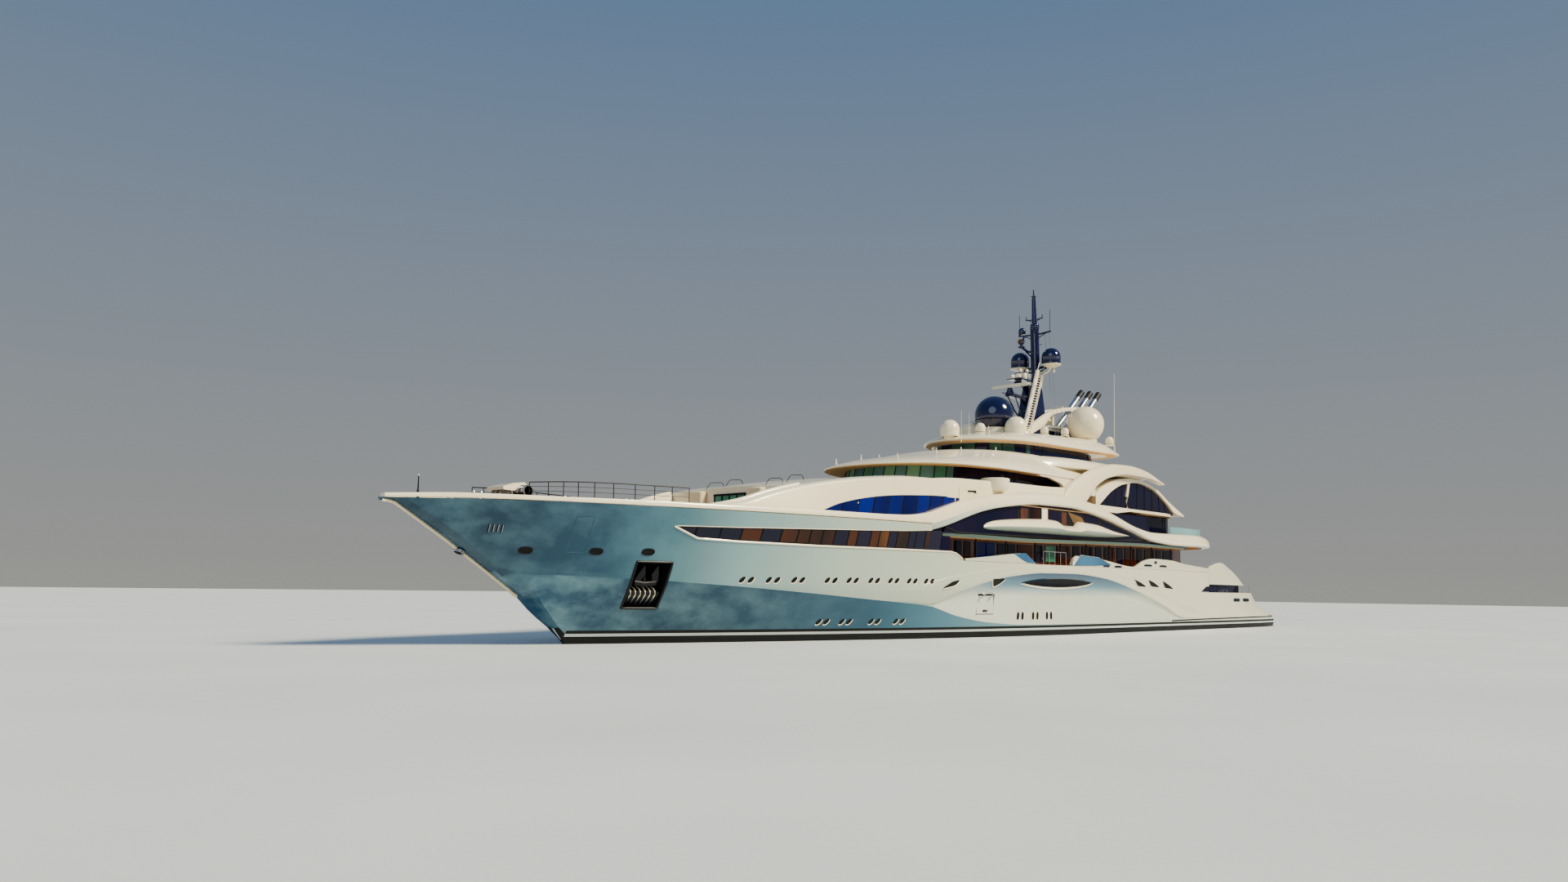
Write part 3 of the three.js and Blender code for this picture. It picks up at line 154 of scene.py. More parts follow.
# Materials
def linear(hex_colour):
    """A colour written as 0xrrggbb, as linear values."""
    parts = [(hex_colour >> shift & 255) / 255 for shift in (16, 8, 0)]
    return [p / 12.92 if p < 0.04045 else ((p + 0.055) / 1.055) ** 2.4 for p in parts] + [1.0]


class Look:
    """A material with short calls for the nodes that the yacht's finishes share."""

    def __init__(self, name, colour, roughness, metallic=0.0, coat=0.0, specular=0.5):
        self.material = bpy.data.materials.new(name)
        self.material.use_nodes = True
        self.nodes = self.material.node_tree.nodes
        self.links = self.material.node_tree.links
        self.shader = self.nodes["Principled BSDF"]
        self.set("Base Color", linear(colour))
        self.set("Roughness", roughness)
        self.set("Metallic", metallic)
        self.set("Coat Weight", coat)
        self.set("Specular IOR Level", specular)
        self.place = self.nodes.new("ShaderNodeTexCoord").outputs["Object"]

    def set(self, socket, value):
        self.shader.inputs[socket].default_value = value

    def node(self, kind, output, inputs, **settings):
        """The output of a new node, its inputs given as numbers or as sockets to link."""
        node = self.nodes.new(f"ShaderNode{kind}")
        for setting, value in settings.items():
            setattr(node, setting, value)
        for name, value in inputs.items():
            if isinstance(value, bpy.types.NodeSocket):
                self.links.new(value, node.inputs[name])
            else:
                node.inputs[name].default_value = value
        return node.outputs[output]

    def noise(self, scale, detail=4.0, stretch=(1, 1, 1), roughness=0.5):
        place = self.node("Mapping", "Vector", {"Scale": stretch, "Vector": self.place})
        values = {"Scale": scale, "Detail": detail, "Roughness": roughness, "Vector": place}
        return self.node("TexNoise", "Fac", values)

    def bands(self, scale, axis):
        values = {"Scale": scale, "Vector": self.place}
        return self.node("TexWave", "Fac", values, wave_type="BANDS", bands_direction=axis,
                         wave_profile="SAW")

    def ramp(self, source, stops):
        """A colour ramp over the source, from stops of (place, 0xrrggbb)."""
        node = self.nodes.new("ShaderNodeValToRGB")
        elements = node.color_ramp.elements
        while len(elements) < len(stops):
            elements.new(0.5)
        for element, (place, colour) in zip(elements, stops):
            element.position = place
            element.color = linear(colour)
        self.links.new(source, node.inputs["Fac"])
        return node.outputs["Color"]

    def span(self, source, low, high, from_low=0.0, from_high=1.0):
        """The source's range mapped to another range."""
        values = {"From Min": from_low, "From Max": from_high, "To Min": low, "To Max": high,
                  "Value": source}
        return self.node("MapRange", "Result", values)

    def along(self, axis, low, high):
        """0 to 1 from one full-size place to another along the ship, across it or up."""
        place = self.node("SeparateXYZ", axis, {"Vector": self.place})
        return self.span(place, 0.0, 1.0, low * METRE, high * METRE)

    def blend(self, factor, a, b, kind="MIX"):
        """Two colours, each a 0xrrggbb number or a socket, mixed by a factor."""
        a, b = (linear(value) if isinstance(value, int) else value for value in (a, b))
        return self.node("Mix", 2, {0: factor, 6: a, 7: b}, data_type="RGBA", blend_type=kind)

    def feed(self, socket, source):
        self.links.new(source, self.shader.inputs[socket])

    def bump(self, source, strength, distance):
        values = {"Strength": strength, "Distance": distance, "Height": source}
        self.feed("Normal", self.node("Bump", "Normal", values))


def gloss_paint(name, light, dark, coat=0.6, roughness=0.24):
    """Gloss paint with faint clouding in its colour and gloss."""
    look = Look(name, light, roughness, coat=coat)
    cloud = look.noise(0.5, 3.0)
    look.feed("Base Color", look.ramp(cloud, [(0.3, dark), (0.7, light)]))
    look.feed("Roughness", look.span(look.noise(6.0), roughness - 0.05, roughness + 0.07))
    look.bump(look.noise(90.0, 2.0), 0.02, 0.0005)
    return look.material


def hull_paint(name, steps, reflection_scale, reflection_colour, strength):
    """The hull's metallic paint with painted light: the deep teal towards the bow and the soft cloud
    reflections along the side are painted shade and reflection, the pale colour aft is the paint's own.
    """
    look = Look(name, steps[-1][1], 0.24, metallic=0.1, coat=0.2)
    base = look.ramp(look.along("X", 62.0, -45.0), steps)
    cloud_reflections = look.ramp(look.noise(reflection_scale, 6.0, (1, 1, 1.6), 0.6), [(0.4, 0x000000), (0.7, 0xffffff)])
    near_bow = look.span(look.along("X", 62.0, 25.0), strength, 0.03)
    shade = look.node("Math", 0, {0: cloud_reflections, 1: near_bow}, operation="MULTIPLY")
    look.feed("Base Color", look.blend(shade, base, reflection_colour))
    look.feed("Roughness", look.span(look.noise(4.0), 0.19, 0.29))
    look.bump(look.noise(60.0, 2.0), 0.015, 0.0005)
    return look.material


def scoop_painted_shade(name, deep, mid, pale):
    """The hull's paint in the scoop with painted shade: dark blue under the arch, pale below, and pale
    towards both ends.
    """
    look = Look(name, pale, 0.22, metallic=0.1, coat=0.4)
    upright = look.ramp(look.along("Z", 2.4, 5.9), [(0.0, pale), (0.3, pale), (0.58, mid), (0.85, deep)])
    stops = [(0.0, 0x000000), (0.2, 0xffffff), (0.75, 0xffffff), (1.0, 0x000000)]
    ends = look.ramp(look.along("X", SCOOP_FORE, SCOOP_AFT), stops)
    look.feed("Base Color", look.blend(ends, pale, upright))
    look.feed("Roughness", look.span(look.noise(4.0), 0.18, 0.28))
    return look.material


def tinted_glass(name, colour, second, scale=1.2, specular=0.35):
    """Dark mirror glass, its tint drifting from one pane to the next."""
    look = Look(name, colour, 0.06, specular=specular)
    look.feed("Base Color", look.ramp(look.noise(scale, 1.0, (1, 1, 0.4)), [(0.4, colour), (0.62, second)]))
    look.feed("Roughness", look.span(look.noise(9.0), 0.03, 0.1))
    return look.material


def teak(name):
    """Laid planks with dark seams and grain along the ship."""
    look = Look(name, 0xb08a5c, 0.62)
    grain = look.noise(16.0, 8.0, (0.12, 1, 1), 0.65)
    wood = look.ramp(grain, [(0.3, 0x94704a), (0.5, 0xb48c60), (0.72, 0xc6a478)])
    seams = look.bands(26.0, "Y")
    lines = look.ramp(seams, [(0.0, 0xffffff), (0.9, 0xffffff), (0.95, 0x302820)])
    look.feed("Base Color", look.blend(1.0, wood, lines, "MULTIPLY"))
    look.bump(look.ramp(seams, [(0.0, 0xffffff), (0.9, 0xffffff), (0.96, 0x000000)]), 0.3, 0.001)
    return look.material


def varnished(name):
    """Red-brown joinery behind varnish, with an upright grain."""
    look = Look(name, 0x7a3c1e, 0.3, coat=0.7)
    grain = look.noise(7.0, 8.0, (1, 1, 0.08), 0.7)
    look.feed("Base Color", look.ramp(grain, [(0.3, 0x2e130b), (0.5, 0x542712), (0.75, 0x743c22)]))
    look.feed("Roughness", look.span(grain, 0.2, 0.4))
    look.bump(grain, 0.1, 0.001)
    return look.material


def metal(name, colour, worn, roughness):
    """Bare metal with fine brushing and dull patches."""
    look = Look(name, colour, roughness, metallic=0.95)
    look.feed("Base Color", look.ramp(look.noise(5.0, 5.0), [(0.35, worn), (0.6, colour)]))
    look.feed("Roughness", look.span(look.noise(22.0, 6.0), roughness - 0.1, roughness + 0.14))
    look.bump(look.noise(120.0, 3.0), 0.06, 0.0006)
    return look.material


def matt_coat(name, colour, second, roughness=0.6, specular=0.35):
    """Matt coating with a fine tooth and faint patches."""
    look = Look(name, colour, roughness, specular=specular)
    look.feed("Base Color", look.ramp(look.noise(2.0, 6.0), [(0.35, second), (0.65, colour)]))
    look.feed("Roughness", look.span(look.noise(8.0), roughness - 0.12, roughness + 0.1))
    look.bump(look.noise(140.0, 3.0), 0.12, 0.0006)
    return look.material


def fading_painted_shade(name, fore, aft, start, end):
    """Gloss paint whose colour passes along the ship from the hull's grey-green, here a painted shade, into
    the superstructure's white.
    """
    look = Look(name, aft, 0.24, coat=0.6)
    look.feed("Base Color", look.ramp(look.along("X", start, end), [(0.0, fore), (1.0, aft)]))
    look.feed("Roughness", look.span(look.noise(6.0), 0.19, 0.31))
    return look.material


# Colour steps of the hull from bow to stern, above and below the knuckle: the deep teal near the bow and
# the darker panel below the knuckle are painted shade and reflection, the pale colour aft is the paint's
# own.
HULL_HIGH_PAINTED_LIGHT = [
    (0.0, 0x173a4e), (0.07, 0x133a50), (0.13, 0x1d4a62), (0.17, 0x44707f), (0.22, 0x86a4a8),
    (0.3, 0xacbab0), (0.42, 0xbec5b4), (0.56, 0xd6d3c0),
]
HULL_LOW_PAINTED_LIGHT = [
    (0.0, 0x264a62), (0.11, 0x285068), (0.2, 0x174058), (0.34, 0x24526a), (0.42, 0x4c7a8e),
    (0.55, 0x8aa4aa), (0.66, 0xbcc0b2),
]
LOOKS = {
    "white": gloss_paint("white_paint", 0xf4ead0, 0xe6dabc),
    "roof": gloss_paint("roof_paint", 0xf5ebd2, 0xe6dac0, roughness=0.32),
    "band_painted_shade": fading_painted_shade("band_painted_shade", 0xa8b6aa, 0xefe7d3, 20.0, 10.0),
    "cream": gloss_paint("cream_paint", 0xe6d8b8, 0xd8c8a4, coat=0.2, roughness=0.4),
    # Warm orange-cream of the undersides: painted warm light bounced up from the decks.
    "soffit_painted_warm_light": matt_coat("soffit_painted_warm_light", 0xe2bc92, 0xd2aa80, 0.85, 0.04),
    # Dark green-grey of the upper deck's edge: painted shade under the balconies.
    "slab_edge_painted_shade": gloss_paint("slab_edge_painted_shade", 0x5f6f68, 0x4d5c56, coat=0.3, roughness=0.3),
    # Greenish grey of the balconies' undersides: painted shade.
    "under": gloss_paint("pod_under_painted_shade", 0x9db0a4, 0x8b9f94, coat=0.3, roughness=0.3),
    "hull_high": hull_paint("hull_high_painted_light", HULL_HIGH_PAINTED_LIGHT, 2.4, 0x7fa6b0, 0.45),
    "hull_low": hull_paint("hull_low_painted_light", HULL_LOW_PAINTED_LIGHT, 3.4, 0x8fb6bc, 0.7),
    "scoop": scoop_painted_shade("scoop_painted_shade", 0x1d4b70, 0x5c8aa2, 0xccd0c4),
    "boot": matt_coat("boot_black", 0x05070a, 0x0b0e12, 0.5),
    "stripe": gloss_paint("boot_white", 0xbcc4c2, 0xaab4b2, roughness=0.3),
    "bottom": matt_coat("antifouling", 0x1b2430, 0x121922),
    "navy": gloss_paint("navy_paint", 0x12194a, 0x0c1136, roughness=0.14, coat=0.9),
    "glass": tinted_glass("dark_glass", 0x0a0e2c, 0x1a1230),
    "bronze_glass": tinted_glass("bronze_glass", 0x1c0d0a, 0x4a2412, 2.2),
    "amber_glass": tinted_glass("amber_glass", 0x4a2a14, 0x7a4e2a, 3.0),
    "blue": tinted_glass("blue_glass", 0x101c62, 0x18267c),
    "sky_glass": tinted_glass("sky_glass", 0x2c4f74, 0x4c7494),
    "night_glass": tinted_glass("night_glass", 0x03040e, 0x090c1c, specular=0.08),
    "blue_deep": tinted_glass("blue_glass_deep", 0x0c144c, 0x141e64),
    "teal_glass": tinted_glass("teal_glass", 0x4a7478, 0x6a9898),
    "moss_glass": tinted_glass("moss_glass", 0x24403a, 0x3c5c50),
    "plum_glass": tinted_glass("plum_glass", 0x160f34, 0x271a46),
    "green": tinted_glass("green_glass", 0x4a8672, 0x7fb298, 3.0),
    "clear": tinted_glass("rail_glass", 0x5c868c, 0x84aaae),
    "teak": teak("teak"),
    "joinery": varnished("joinery"),
    "steel": metal("steel", 0xc6c8cc, 0x9a9ca2, 0.28),
    "chrome": metal("bright_steel", 0xdfe1e4, 0xc2c4c8, 0.16),
    "bronze": metal("bronze", 0xb08a4a, 0x7c5c30, 0.32),
    "dark": matt_coat("dark_fittings", 0x1a1d22, 0x0f1115, 0.45),
    "soot": matt_coat("sooted_steel", 0x16171a, 0x2a2b2e, 0.5),
    "seam": matt_coat("dark_seam", 0x06080b, 0x0c0e12, 0.6),
}


# Mesh makers
MERGE_WITHIN = 1e-6
SMOOTH_UNDER = 35.0


def new_object(name, sheets, angle=SMOOTH_UNDER):
    """A mesh from full-size corners, smooth where its faces meet at less than the angle."""
    looks = list(dict.fromkeys([*sheets.looks, *sheets.finishes]))
    mesh = bpy.data.meshes.new(name)
    mesh.from_pydata([[c * METRE for c in v] for v in sheets.vertices], [], sheets.faces)
    for look in looks:
        mesh.materials.append(LOOKS[look])
    mesh.polygons.foreach_set("material_index", [looks.index(look) for look in sheets.finishes])
    edit = bmesh.new()
    edit.from_mesh(mesh)
    bmesh.ops.remove_doubles(edit, verts=edit.verts, dist=MERGE_WITHIN)
    bmesh.ops.recalc_face_normals(edit, faces=edit.faces)
    edit.to_mesh(mesh)
    edit.free()
    mesh.shade_smooth()
    mesh.set_sharp_from_angle(angle=math.radians(angle))
    piece = bpy.data.objects.new(name, mesh)
    bpy.context.scene.collection.objects.link(piece)
    return piece


class Sheets:
    """Small lofts, rods and plates gathered into one mesh, in the first look where none is named."""

    def __init__(self, *looks):
        self.looks = looks
        self.vertices = []
        self.faces = []
        self.finishes = []

    def loft(self, rings, look=None, caps=True):
        """A skin through closed rings of as many corners each."""
        first = len(self.vertices)
        count = len(rings[0])
        for ring in rings:
            self.vertices.extend(ring)
        last = first + (len(rings) - 1) * count
        for a in range(first, last, count):
            for i in range(count):
                b = a + (i + 1) % count
                self.face((a + i, b, b + count, a + i + count), look)
        if caps:
            self.face(tuple(reversed(range(first, first + count))), look)
            self.face(tuple(range(last, last + count)), look)

    def face(self, corners, look=None):
        self.faces.append(corners)
        self.finishes.append(look or self.looks[0])

    def repaint(self, faces, look):
        for face in faces:
            self.finishes[face] = look

    def box(self, x, y, z, length, width, height, look=None, bevel=0.12):
        """A block with softened upright edges and a softened top."""
        inset = min(length, width, height) * bevel
        corner = inset * 0.8
        rings = []
        for level, narrow in ((0, 0), (height - inset, 0), (height, inset)):
            a, b = length / 2 - narrow, width / 2 - narrow
            u, v = 1 - corner / a, 1 - corner / b
            turn = ((1, v), (u, 1), (-u, 1), (-1, v), (-1, -v), (-u, -1), (u, -1), (1, -v))
            rings.append([(x + along * a, y + across * b, z + level) for along, across in turn])
        self.loft(rings, look)

    def rod(self, points, r, look=None, sides=8, end_r=None):
        """A round bar along points."""
        rings = []
        places = [Vector(p) for p in points]
        for i, place in enumerate(places):
            run = (places[min(i + 1, len(places) - 1)] - places[max(i - 1, 0)]).normalized()
            side = run.cross(Vector((0, 0, 1)))
            if side.length < 0.05:
                side = run.cross(Vector((0, 1, 0)))
            side.normalize()
            over = side.cross(run)
            radius = mix(r, r if end_r is None else end_r, i / (len(places) - 1))
            rings.append([tuple(place + radius * (c * side + d * over)) for c, d in circle(sides)])
        self.loft(rings, look)

    def lathe(self, x, y, z, profile, look=None, sides=32):
        """A turned form about an upright axis, from pairs of radius and height."""
        self.loft([[(x + r * c, y + r * d, z + h) for c, d in circle(sides)] for r, h in profile], look)

    def loop(self, points, r, look=None, sides=6):
        """A round bar that closes on itself, along points around a place on a side."""
        places = [Vector(p) for p in points]
        over = Vector((0, 1, 0))
        rings = []
        for i, place in enumerate(places):
            side = (places[(i + 1) % len(places)] - places[i - 1]).cross(over).normalized()
            rings.append([tuple(place + r * (c * side + d * over)) for c, d in circle(sides)])
        self.loft(rings + rings[:1], look, caps=False)

    def patch(self, outline, place, lift, look=None, foot=-0.03, rings=4):
        """A thin plate over a side; place(x, z, lift) puts each of its corners there."""
        middle_x, middle_z = middle(outline)
        rows = [(1, foot), (1, lift)] + [(1 - k / rings, lift) for k in range(1, rings)] + [(0.02, lift)]
        self.loft([
            [place(mix(middle_x, x, share), mix(middle_z, z, share), height) for x, z in outline]
            for share, height in rows
        ], look)

    def build(self, name, slot, body=BODY, replaces=(), angle=SMOOTH_UNDER):
        piece = new_object(name, self, angle)
        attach(piece, body)
        if replaces:
            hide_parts(*replaces)
        return piece

    def skin(self, node, slot, angle=SMOOTH_UNDER):
        """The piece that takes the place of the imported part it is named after."""
        self.build(f"{node}_skin", slot=slot, replaces=(node,), angle=angle)


def mirrored(x, port, centre=()):
    """A ring at one station from its port side's (y, z), with any corners on the centreline between."""
    return [(x, y, z) for y, z in [*port, *centre]] + [(x, -y, z) for y, z in reversed(port)]


def placer(side, reach):
    """A function that puts (x, z) on a side whose half-breadth is reach(x, z), lifted off it."""
    def place(x, z, lift=0.0):
        return (x, side * (reach(x, z) + lift), z)
    return place


# The hull's lines
BOW = 61.45
STERN = -59.6
BEAM = 10.2
MAIN_DECK = 6.25
FOREDECK = 8.98
STERN_DECK = 4.05
PLATFORM = 1.32
STRIP_END = 20.95
SLOPE_TOP = -46.3
SLOPE_FOOT = -50.3
BOOT_TOP = 0.5
STRIPE_TOP = 0.69
LINE_TOP = 0.9
NOSE_CAP = 60.7
CHIN_FORE = 51.87
CHIN_AFT = 51.14
CHIN_HALF = 1.08
CHIN_RISE = 0.1

platform_round = smooth([
    (-30, BEAM), (-40, 9.95), (-46, 9.8), (-50, 9.55), (-53, 9.1), (-55.5, 8.2), (-57.5, 6.6),
    (-58.9, 4.2), (STERN, 1.2),
])
deck_round = smooth([
    (-30, BEAM), (-38, 9.95), (-42, 9.75), (-44.5, 9.45), (-46.3, 8.95), (-48, 8.2), (-50, 7.2),
    (-53, 6.2), (STERN, 1.1),
])
bottom_line = straight([
    (BOW, 8.62), (60.6, 8.6), (59.6, 8), (57.1, 6.48), (54.5, 4.79), (51.87, 3.03), (51.14, 2.93),
    (50.42, 2.17), (49.62, 1.42), (48.87, 0.8), (48.5, 0.3), (48.3, 0), (47.6, -1.2), (46.4, -2.9),
    (45, -4.3), (43, -5.1), (40, -5.3), (-18, -5.3), (-30, -4.7), (-42, -2.9), (-50, -1.3), (-55, -0.4),
    (-58, 0.1), (STERN, 0.4),
])
deck_line = straight([
    (BOW, 8.8), (56.5, 8.93), (51.5, FOREDECK), (STRIP_END, FOREDECK), (STRIP_END - 0.02, 6.95),
    (18.2, 6.95), (17.2, 6.6), (16.4, MAIN_DECK), (-31.28, MAIN_DECK), (-31.3, STERN_DECK),
    (SLOPE_TOP, STERN_DECK), (SLOPE_FOOT, PLATFORM), (STERN, PLATFORM),
])
knuckle_line = smooth([
    (BOW, 4.7), (50.2, 4.48), (43.1, 4.22), (38.1, 3.94), (31.4, 3.5), (26.6, 3.14), (19.7, 2.62),
    (15.9, 1.79), (11.9, 1.25), (5.9, 0.97), (-1, 0.98), (-13, 1.07), (-24.1, 1.18), (STERN, 1.2),
])
arch_inner = smooth([
    (21, 2.2), (19.5, 2.65), (17.4, 3.45), (13.8, 4.46), (9.5, 5.13), (4.7, 5.48), (-0.7, 5.52),
    (-6.5, 5.21), (-12.8, 4.2), (-19.7, 2.61), (-24.9, 1.3), (-30, 1.2),
])
arch_outer = smooth([
    (26, 3.5), (21.9, 3.95), (19.6, 4.55), (13.9, 5.45), (9.6, 5.9), (4.7, 6.08), (-6.4, 6.08), (-12, 5.3),
    (-19, 3.9), (-26, 2.2), (-30, 1.4),
])
arch_proud = smooth([(24, 0), (20, 0.1), (10, 0.14), (-18, 0.14), (-26, 0.08), (-29, 0)])
scoop_depth = smooth([(20, 0), (16, 0.2), (6, 0.55), (-6, 0.55), (-18, 0.25), (-25, 0)])


def fullness(x, stem, shoulder, half, power):
    """Half-breadth of one level, from its stem to its full breadth."""
    t = clamp((stem - x) / (stem - shoulder))
    return half * (1 - (1 - t) ** power)


def stern_limit(x, z):
    return mix(platform_round(x), deck_round(x), clamp((z - 1.45) / 2.6))


def deck_edge(x):
    return fullness(x, 61.7, 12, BEAM, 2.3)


def water_edge(x):
    return min(fullness(x, 48.6, -5, 9.9, 1.9), stern_limit(x, 0) - 0.1)


def side_at(x, z):
    """Half-breadth of the plain side at a height above the water."""
    knuckle = fullness(x, 55.2, 5, 10, 2.1)
    low = mix(water_edge(x), knuckle, clamp(z / 4))
    return min(mix(low, deck_edge(x), clamp((z - 4) / 5)), stern_limit(x, z))


def stem_flat(x, z):
    """Half-breadth under the rounded stem and across the chin's facet."""
    if x <= CHIN_AFT:
        return side_at(x, z) * 0.97
    t = (x - CHIN_AFT) / (CHIN_FORE - CHIN_AFT)
    return CHIN_HALF * math.sqrt(max(1 - t * t, 0.0015))


# Rows of the side: share of the way through their stretch, share of the scoop's depth or arch's height
SCOOP_ROWS = [
    (0.1, 0.1), (0.22, 0.32), (0.36, 0.6), (0.5, 0.84), (0.62, 0.97), (0.7, 1.0), (0.8, 0.8), (0.9, 0.3),
    (0.96, 0.0),
]
ARCH_ROWS = [(0.0, 0.7), (0.08, 0.95), (0.3, 1.1), (0.7, 1.1), (0.92, 0.95), (1.0, 0.7)]
BILGE_ROWS = [
    (1, 0.2), (1, 0.42), (0.97, 0.56), (0.9, 0.7), (0.82, 0.79), (0.7, 0.87), (0.55, 0.94), (0.38, 0.975),
    (0.2, 0.99),
]
LOW_ROWS = 7
HIGH_ROWS = 9


def side_levels(x):
    """Rows of height and offset from the plain side, from the waterline to the deck edge."""
    knuckle = knuckle_line(x)
    inner = max(arch_inner(x), knuckle + 0.1)
    outer = max(arch_outer(x), inner + 0.1)
    scoop = scoop_depth(x)
    proud = arch_proud(x)
    rows = [(0, 0), (BOOT_TOP, 0), (STRIPE_TOP, 0), (LINE_TOP, 0)]
    rows += [(mix(LINE_TOP, knuckle, t), 0) for t in spread(0, 1, LOW_ROWS)[1:]]
    rows += [(mix(knuckle, inner, t), -scoop * depth) for t, depth in SCOOP_ROWS]
    rows += [(mix(inner, outer, t), proud * height) for t, height in ARCH_ROWS]
    top = deck_line(x)
    rows += [(mix(outer + 0.1, max(top, outer + 0.1), t), 0) for t in spread(0, 1, HIGH_ROWS)]
    return rows


def hull_section(x):
    """One side of the hull's section, from the keel to the deck edge."""
    bottom = bottom_line(x)
    top = deck_line(x)
    ahead = x > CHIN_AFT
    rows = [(0, bottom - 0.002)]
    for i, (depth, share) in enumerate(BILGE_ROWS):
        if bottom < 0:
            rows.append((water_edge(x) * share, bottom * depth))
        else:
            t = (i + 1) / len(BILGE_ROWS)
            z = bottom + CHIN_RISE * t
            rows.append((stem_flat(x, z) * t, z))
    levels = side_levels(x)
    step = 0.014 if ahead else 0.001
    floor = -0.5 if bottom < 0 else bottom + CHIN_RISE
    for i, (level, offset) in enumerate(levels):
        limit = top - 0.001 * (len(levels) - 1 - i)
        floor = max(min(max(level, floor + step), limit), floor + 0.001)
        side = side_at(x, floor) + offset
        if ahead:
            side = max(side * math.sqrt(clamp((floor - bottom) / 0.45)), stem_flat(x, floor))
        rows.append((max(side, 0.02), floor))
    return rows


def skin_y(x, z):
    """Half-breadth of the finished side, with the scoop and the arch."""
    levels = side_levels(x)
    offset = 0
    for (z0, o0), (z1, o1) in zip(levels, levels[1:]):
        if z0 <= z <= z1 and z1 > z0:
            offset = mix(o0, o1, (z - z0) / (z1 - z0))
            break
    return side_at(x, z) + offset


# Hull
HULL_LOOKS = ("bottom", "boot", "stripe", "hull_low", "hull_high", "scoop", "teak", "white", "dark")


def hull_stations():
    marks = [
        BOW, 61.1, 60.6, 60.1, 59.6, CHIN_FORE, 51.75, 51.6, 51.4, CHIN_AFT, 48.5, 48.3, STRIP_END,
        STRIP_END - 0.02, 18.2, 17.2, 16.4, -31.28, -31.3, SLOPE_TOP, SLOPE_FOOT, -58.6, -59.1, STERN,
    ]
    plain = spread(59.0, 43.0, 26) + spread(42.0, 22.0, 20)
    plain += spread(20.0, -30.0, 50) + spread(-32.0, -58.0, 30)
    plain = [x for x in plain if all(abs(x - mark) > 0.15 for mark in marks)]
    return sorted(marks + plain, reverse=True)


def hull_look(x, z, row, rows):
    if row >= rows - 1:
        step = deck_line(x + 0.01) - deck_line(x - 0.01) > 0.02
        return "white" if step or x > NOSE_CAP else "teak"
    # Below the knuckle the hull takes the darker copy of its paint, a painted shade.
    levels = ((0, "bottom"), (BOOT_TOP, "boot"), (STRIPE_TOP, "stripe"), (LINE_TOP, "boot"),
              (knuckle_line(x), "hull_low"))
    for level, look in levels:
        if z < level:
            return look
    return "scoop" if SCOOP_AFT < x < SCOOP_FORE and z < arch_inner(x) else "hull_high"


def hull_mesh():
    sheets = Sheets(*HULL_LOOKS)
    rings = []
    for x in hull_stations():
        port = hull_section(x)
        rings.append(mirrored(x, port, [(0, port[-1][1])])[:-1])
    sheets.loft(rings)
    rows = len(port)
    count = len(rings[0])
    for face in range((len(rings) - 1) * count):
        i = face % count
        x, _, z = middle([sheets.vertices[c] for c in sheets.faces[face]])
        sheets.finishes[face] = hull_look(x, z, i if i < rows else count - 1 - i, rows)
    sheets.repaint((-2, -1), "hull_high")
    return sheets


# Openings in the hull: anchor pockets, the window strip, the thruster's tunnel and the doors
strip_sill = straight([(43.95, 7.78), (42.1, 7.12), (39.1, 7.02), (32.5, 6.95), (18.2, 6.95)])
strip_head = straight([(43.95, 7.84), (39.4, 7.91), (32.9, 8.08), (28.3, 8.2), (24, 8.34), (21, 8.5)])
STRIP_FORE = 43.85
STRIP_AFT = 19.6
POCKET = ((45.7, 5.45), (43.3, 5.45), (43.2, 2.4), (45.6, 2.4))
DOOR = ((13.6, 1.9), (11.2, 1.9), (11.2, 3.6), (13.6, 3.6))
STERN_DOOR_LENGTH = 3.8
STERN_DOOR_HALF = 3.0
STERN_DOOR_REACH = 0.4
THRUSTER_X = 39.5
THRUSTER_Z = -2.9
TUNNEL_R = 1.05


def hull_cutter():
    tools = Sheets(*HULL_LOOKS)
    for _, side in SIDES:
        tools.loft([[(x, side * y, z) for x, z in POCKET] for y in (2.2, 8.0)], "dark")
        place = placer(side, side_at)
        tools.loft([
            [place(x, strip_sill(x), 0.6), place(x, strip_head(x), 0.6), place(x, strip_head(x), -0.3),
             place(x, strip_sill(x), -0.3)]
            for x in spread(STRIP_FORE, STRIP_AFT, 24)
        ], "dark")
        tools.loft([[(x, side * y, z) for x, z in DOOR] for y in (8.5, 10.7)], "dark")
    tools.rod([(THRUSTER_X, -8, THRUSTER_Z), (THRUSTER_X, 8, THRUSTER_Z)], TUNNEL_R, "bottom", 40)
    centre = Vector(((SLOPE_TOP + SLOPE_FOOT) / 2, 0, (STERN_DECK + PLATFORM) / 2))
    run = Vector((SLOPE_TOP - SLOPE_FOOT, 0, STERN_DECK - PLATFORM)).normalized()
    out = Vector((-run.z, 0, run.x))
    tools.loft([
        [tuple(centre + run * u * (STERN_DOOR_LENGTH / 2) + Vector((0, v * STERN_DOOR_HALF, 0))
               + out * reach)
         for u, v in ((1, 1), (-1, 1), (-1, -1), (1, -1))]
        for reach in (-STERN_DOOR_REACH, STERN_DOOR_REACH)
    ], "dark")
    return new_object("hull_cutter", tools)


def carve(piece, cutter, angle):
    """Cuts one closed mesh out of another and keeps only the result."""
    modifier = piece.modifiers.new("carve", "BOOLEAN")
    modifier.operation = "DIFFERENCE"
    modifier.solver = "EXACT"
    modifier.object = cutter
    graph = bpy.context.evaluated_depsgraph_get()
    carved = bpy.data.meshes.new_from_object(piece.evaluated_get(graph))
    piece.modifiers.clear()
    piece.data = carved
    piece.data.set_sharp_from_angle(angle=math.radians(angle))
    bpy.data.objects.remove(cutter)


HULL_SMOOTH_UNDER = 28.0
hull = hull_mesh().build("hull_shell", slot="hull_paint", replaces=("hull",), angle=HULL_SMOOTH_UNDER)
carve(hull, hull_cutter(), HULL_SMOOTH_UNDER)


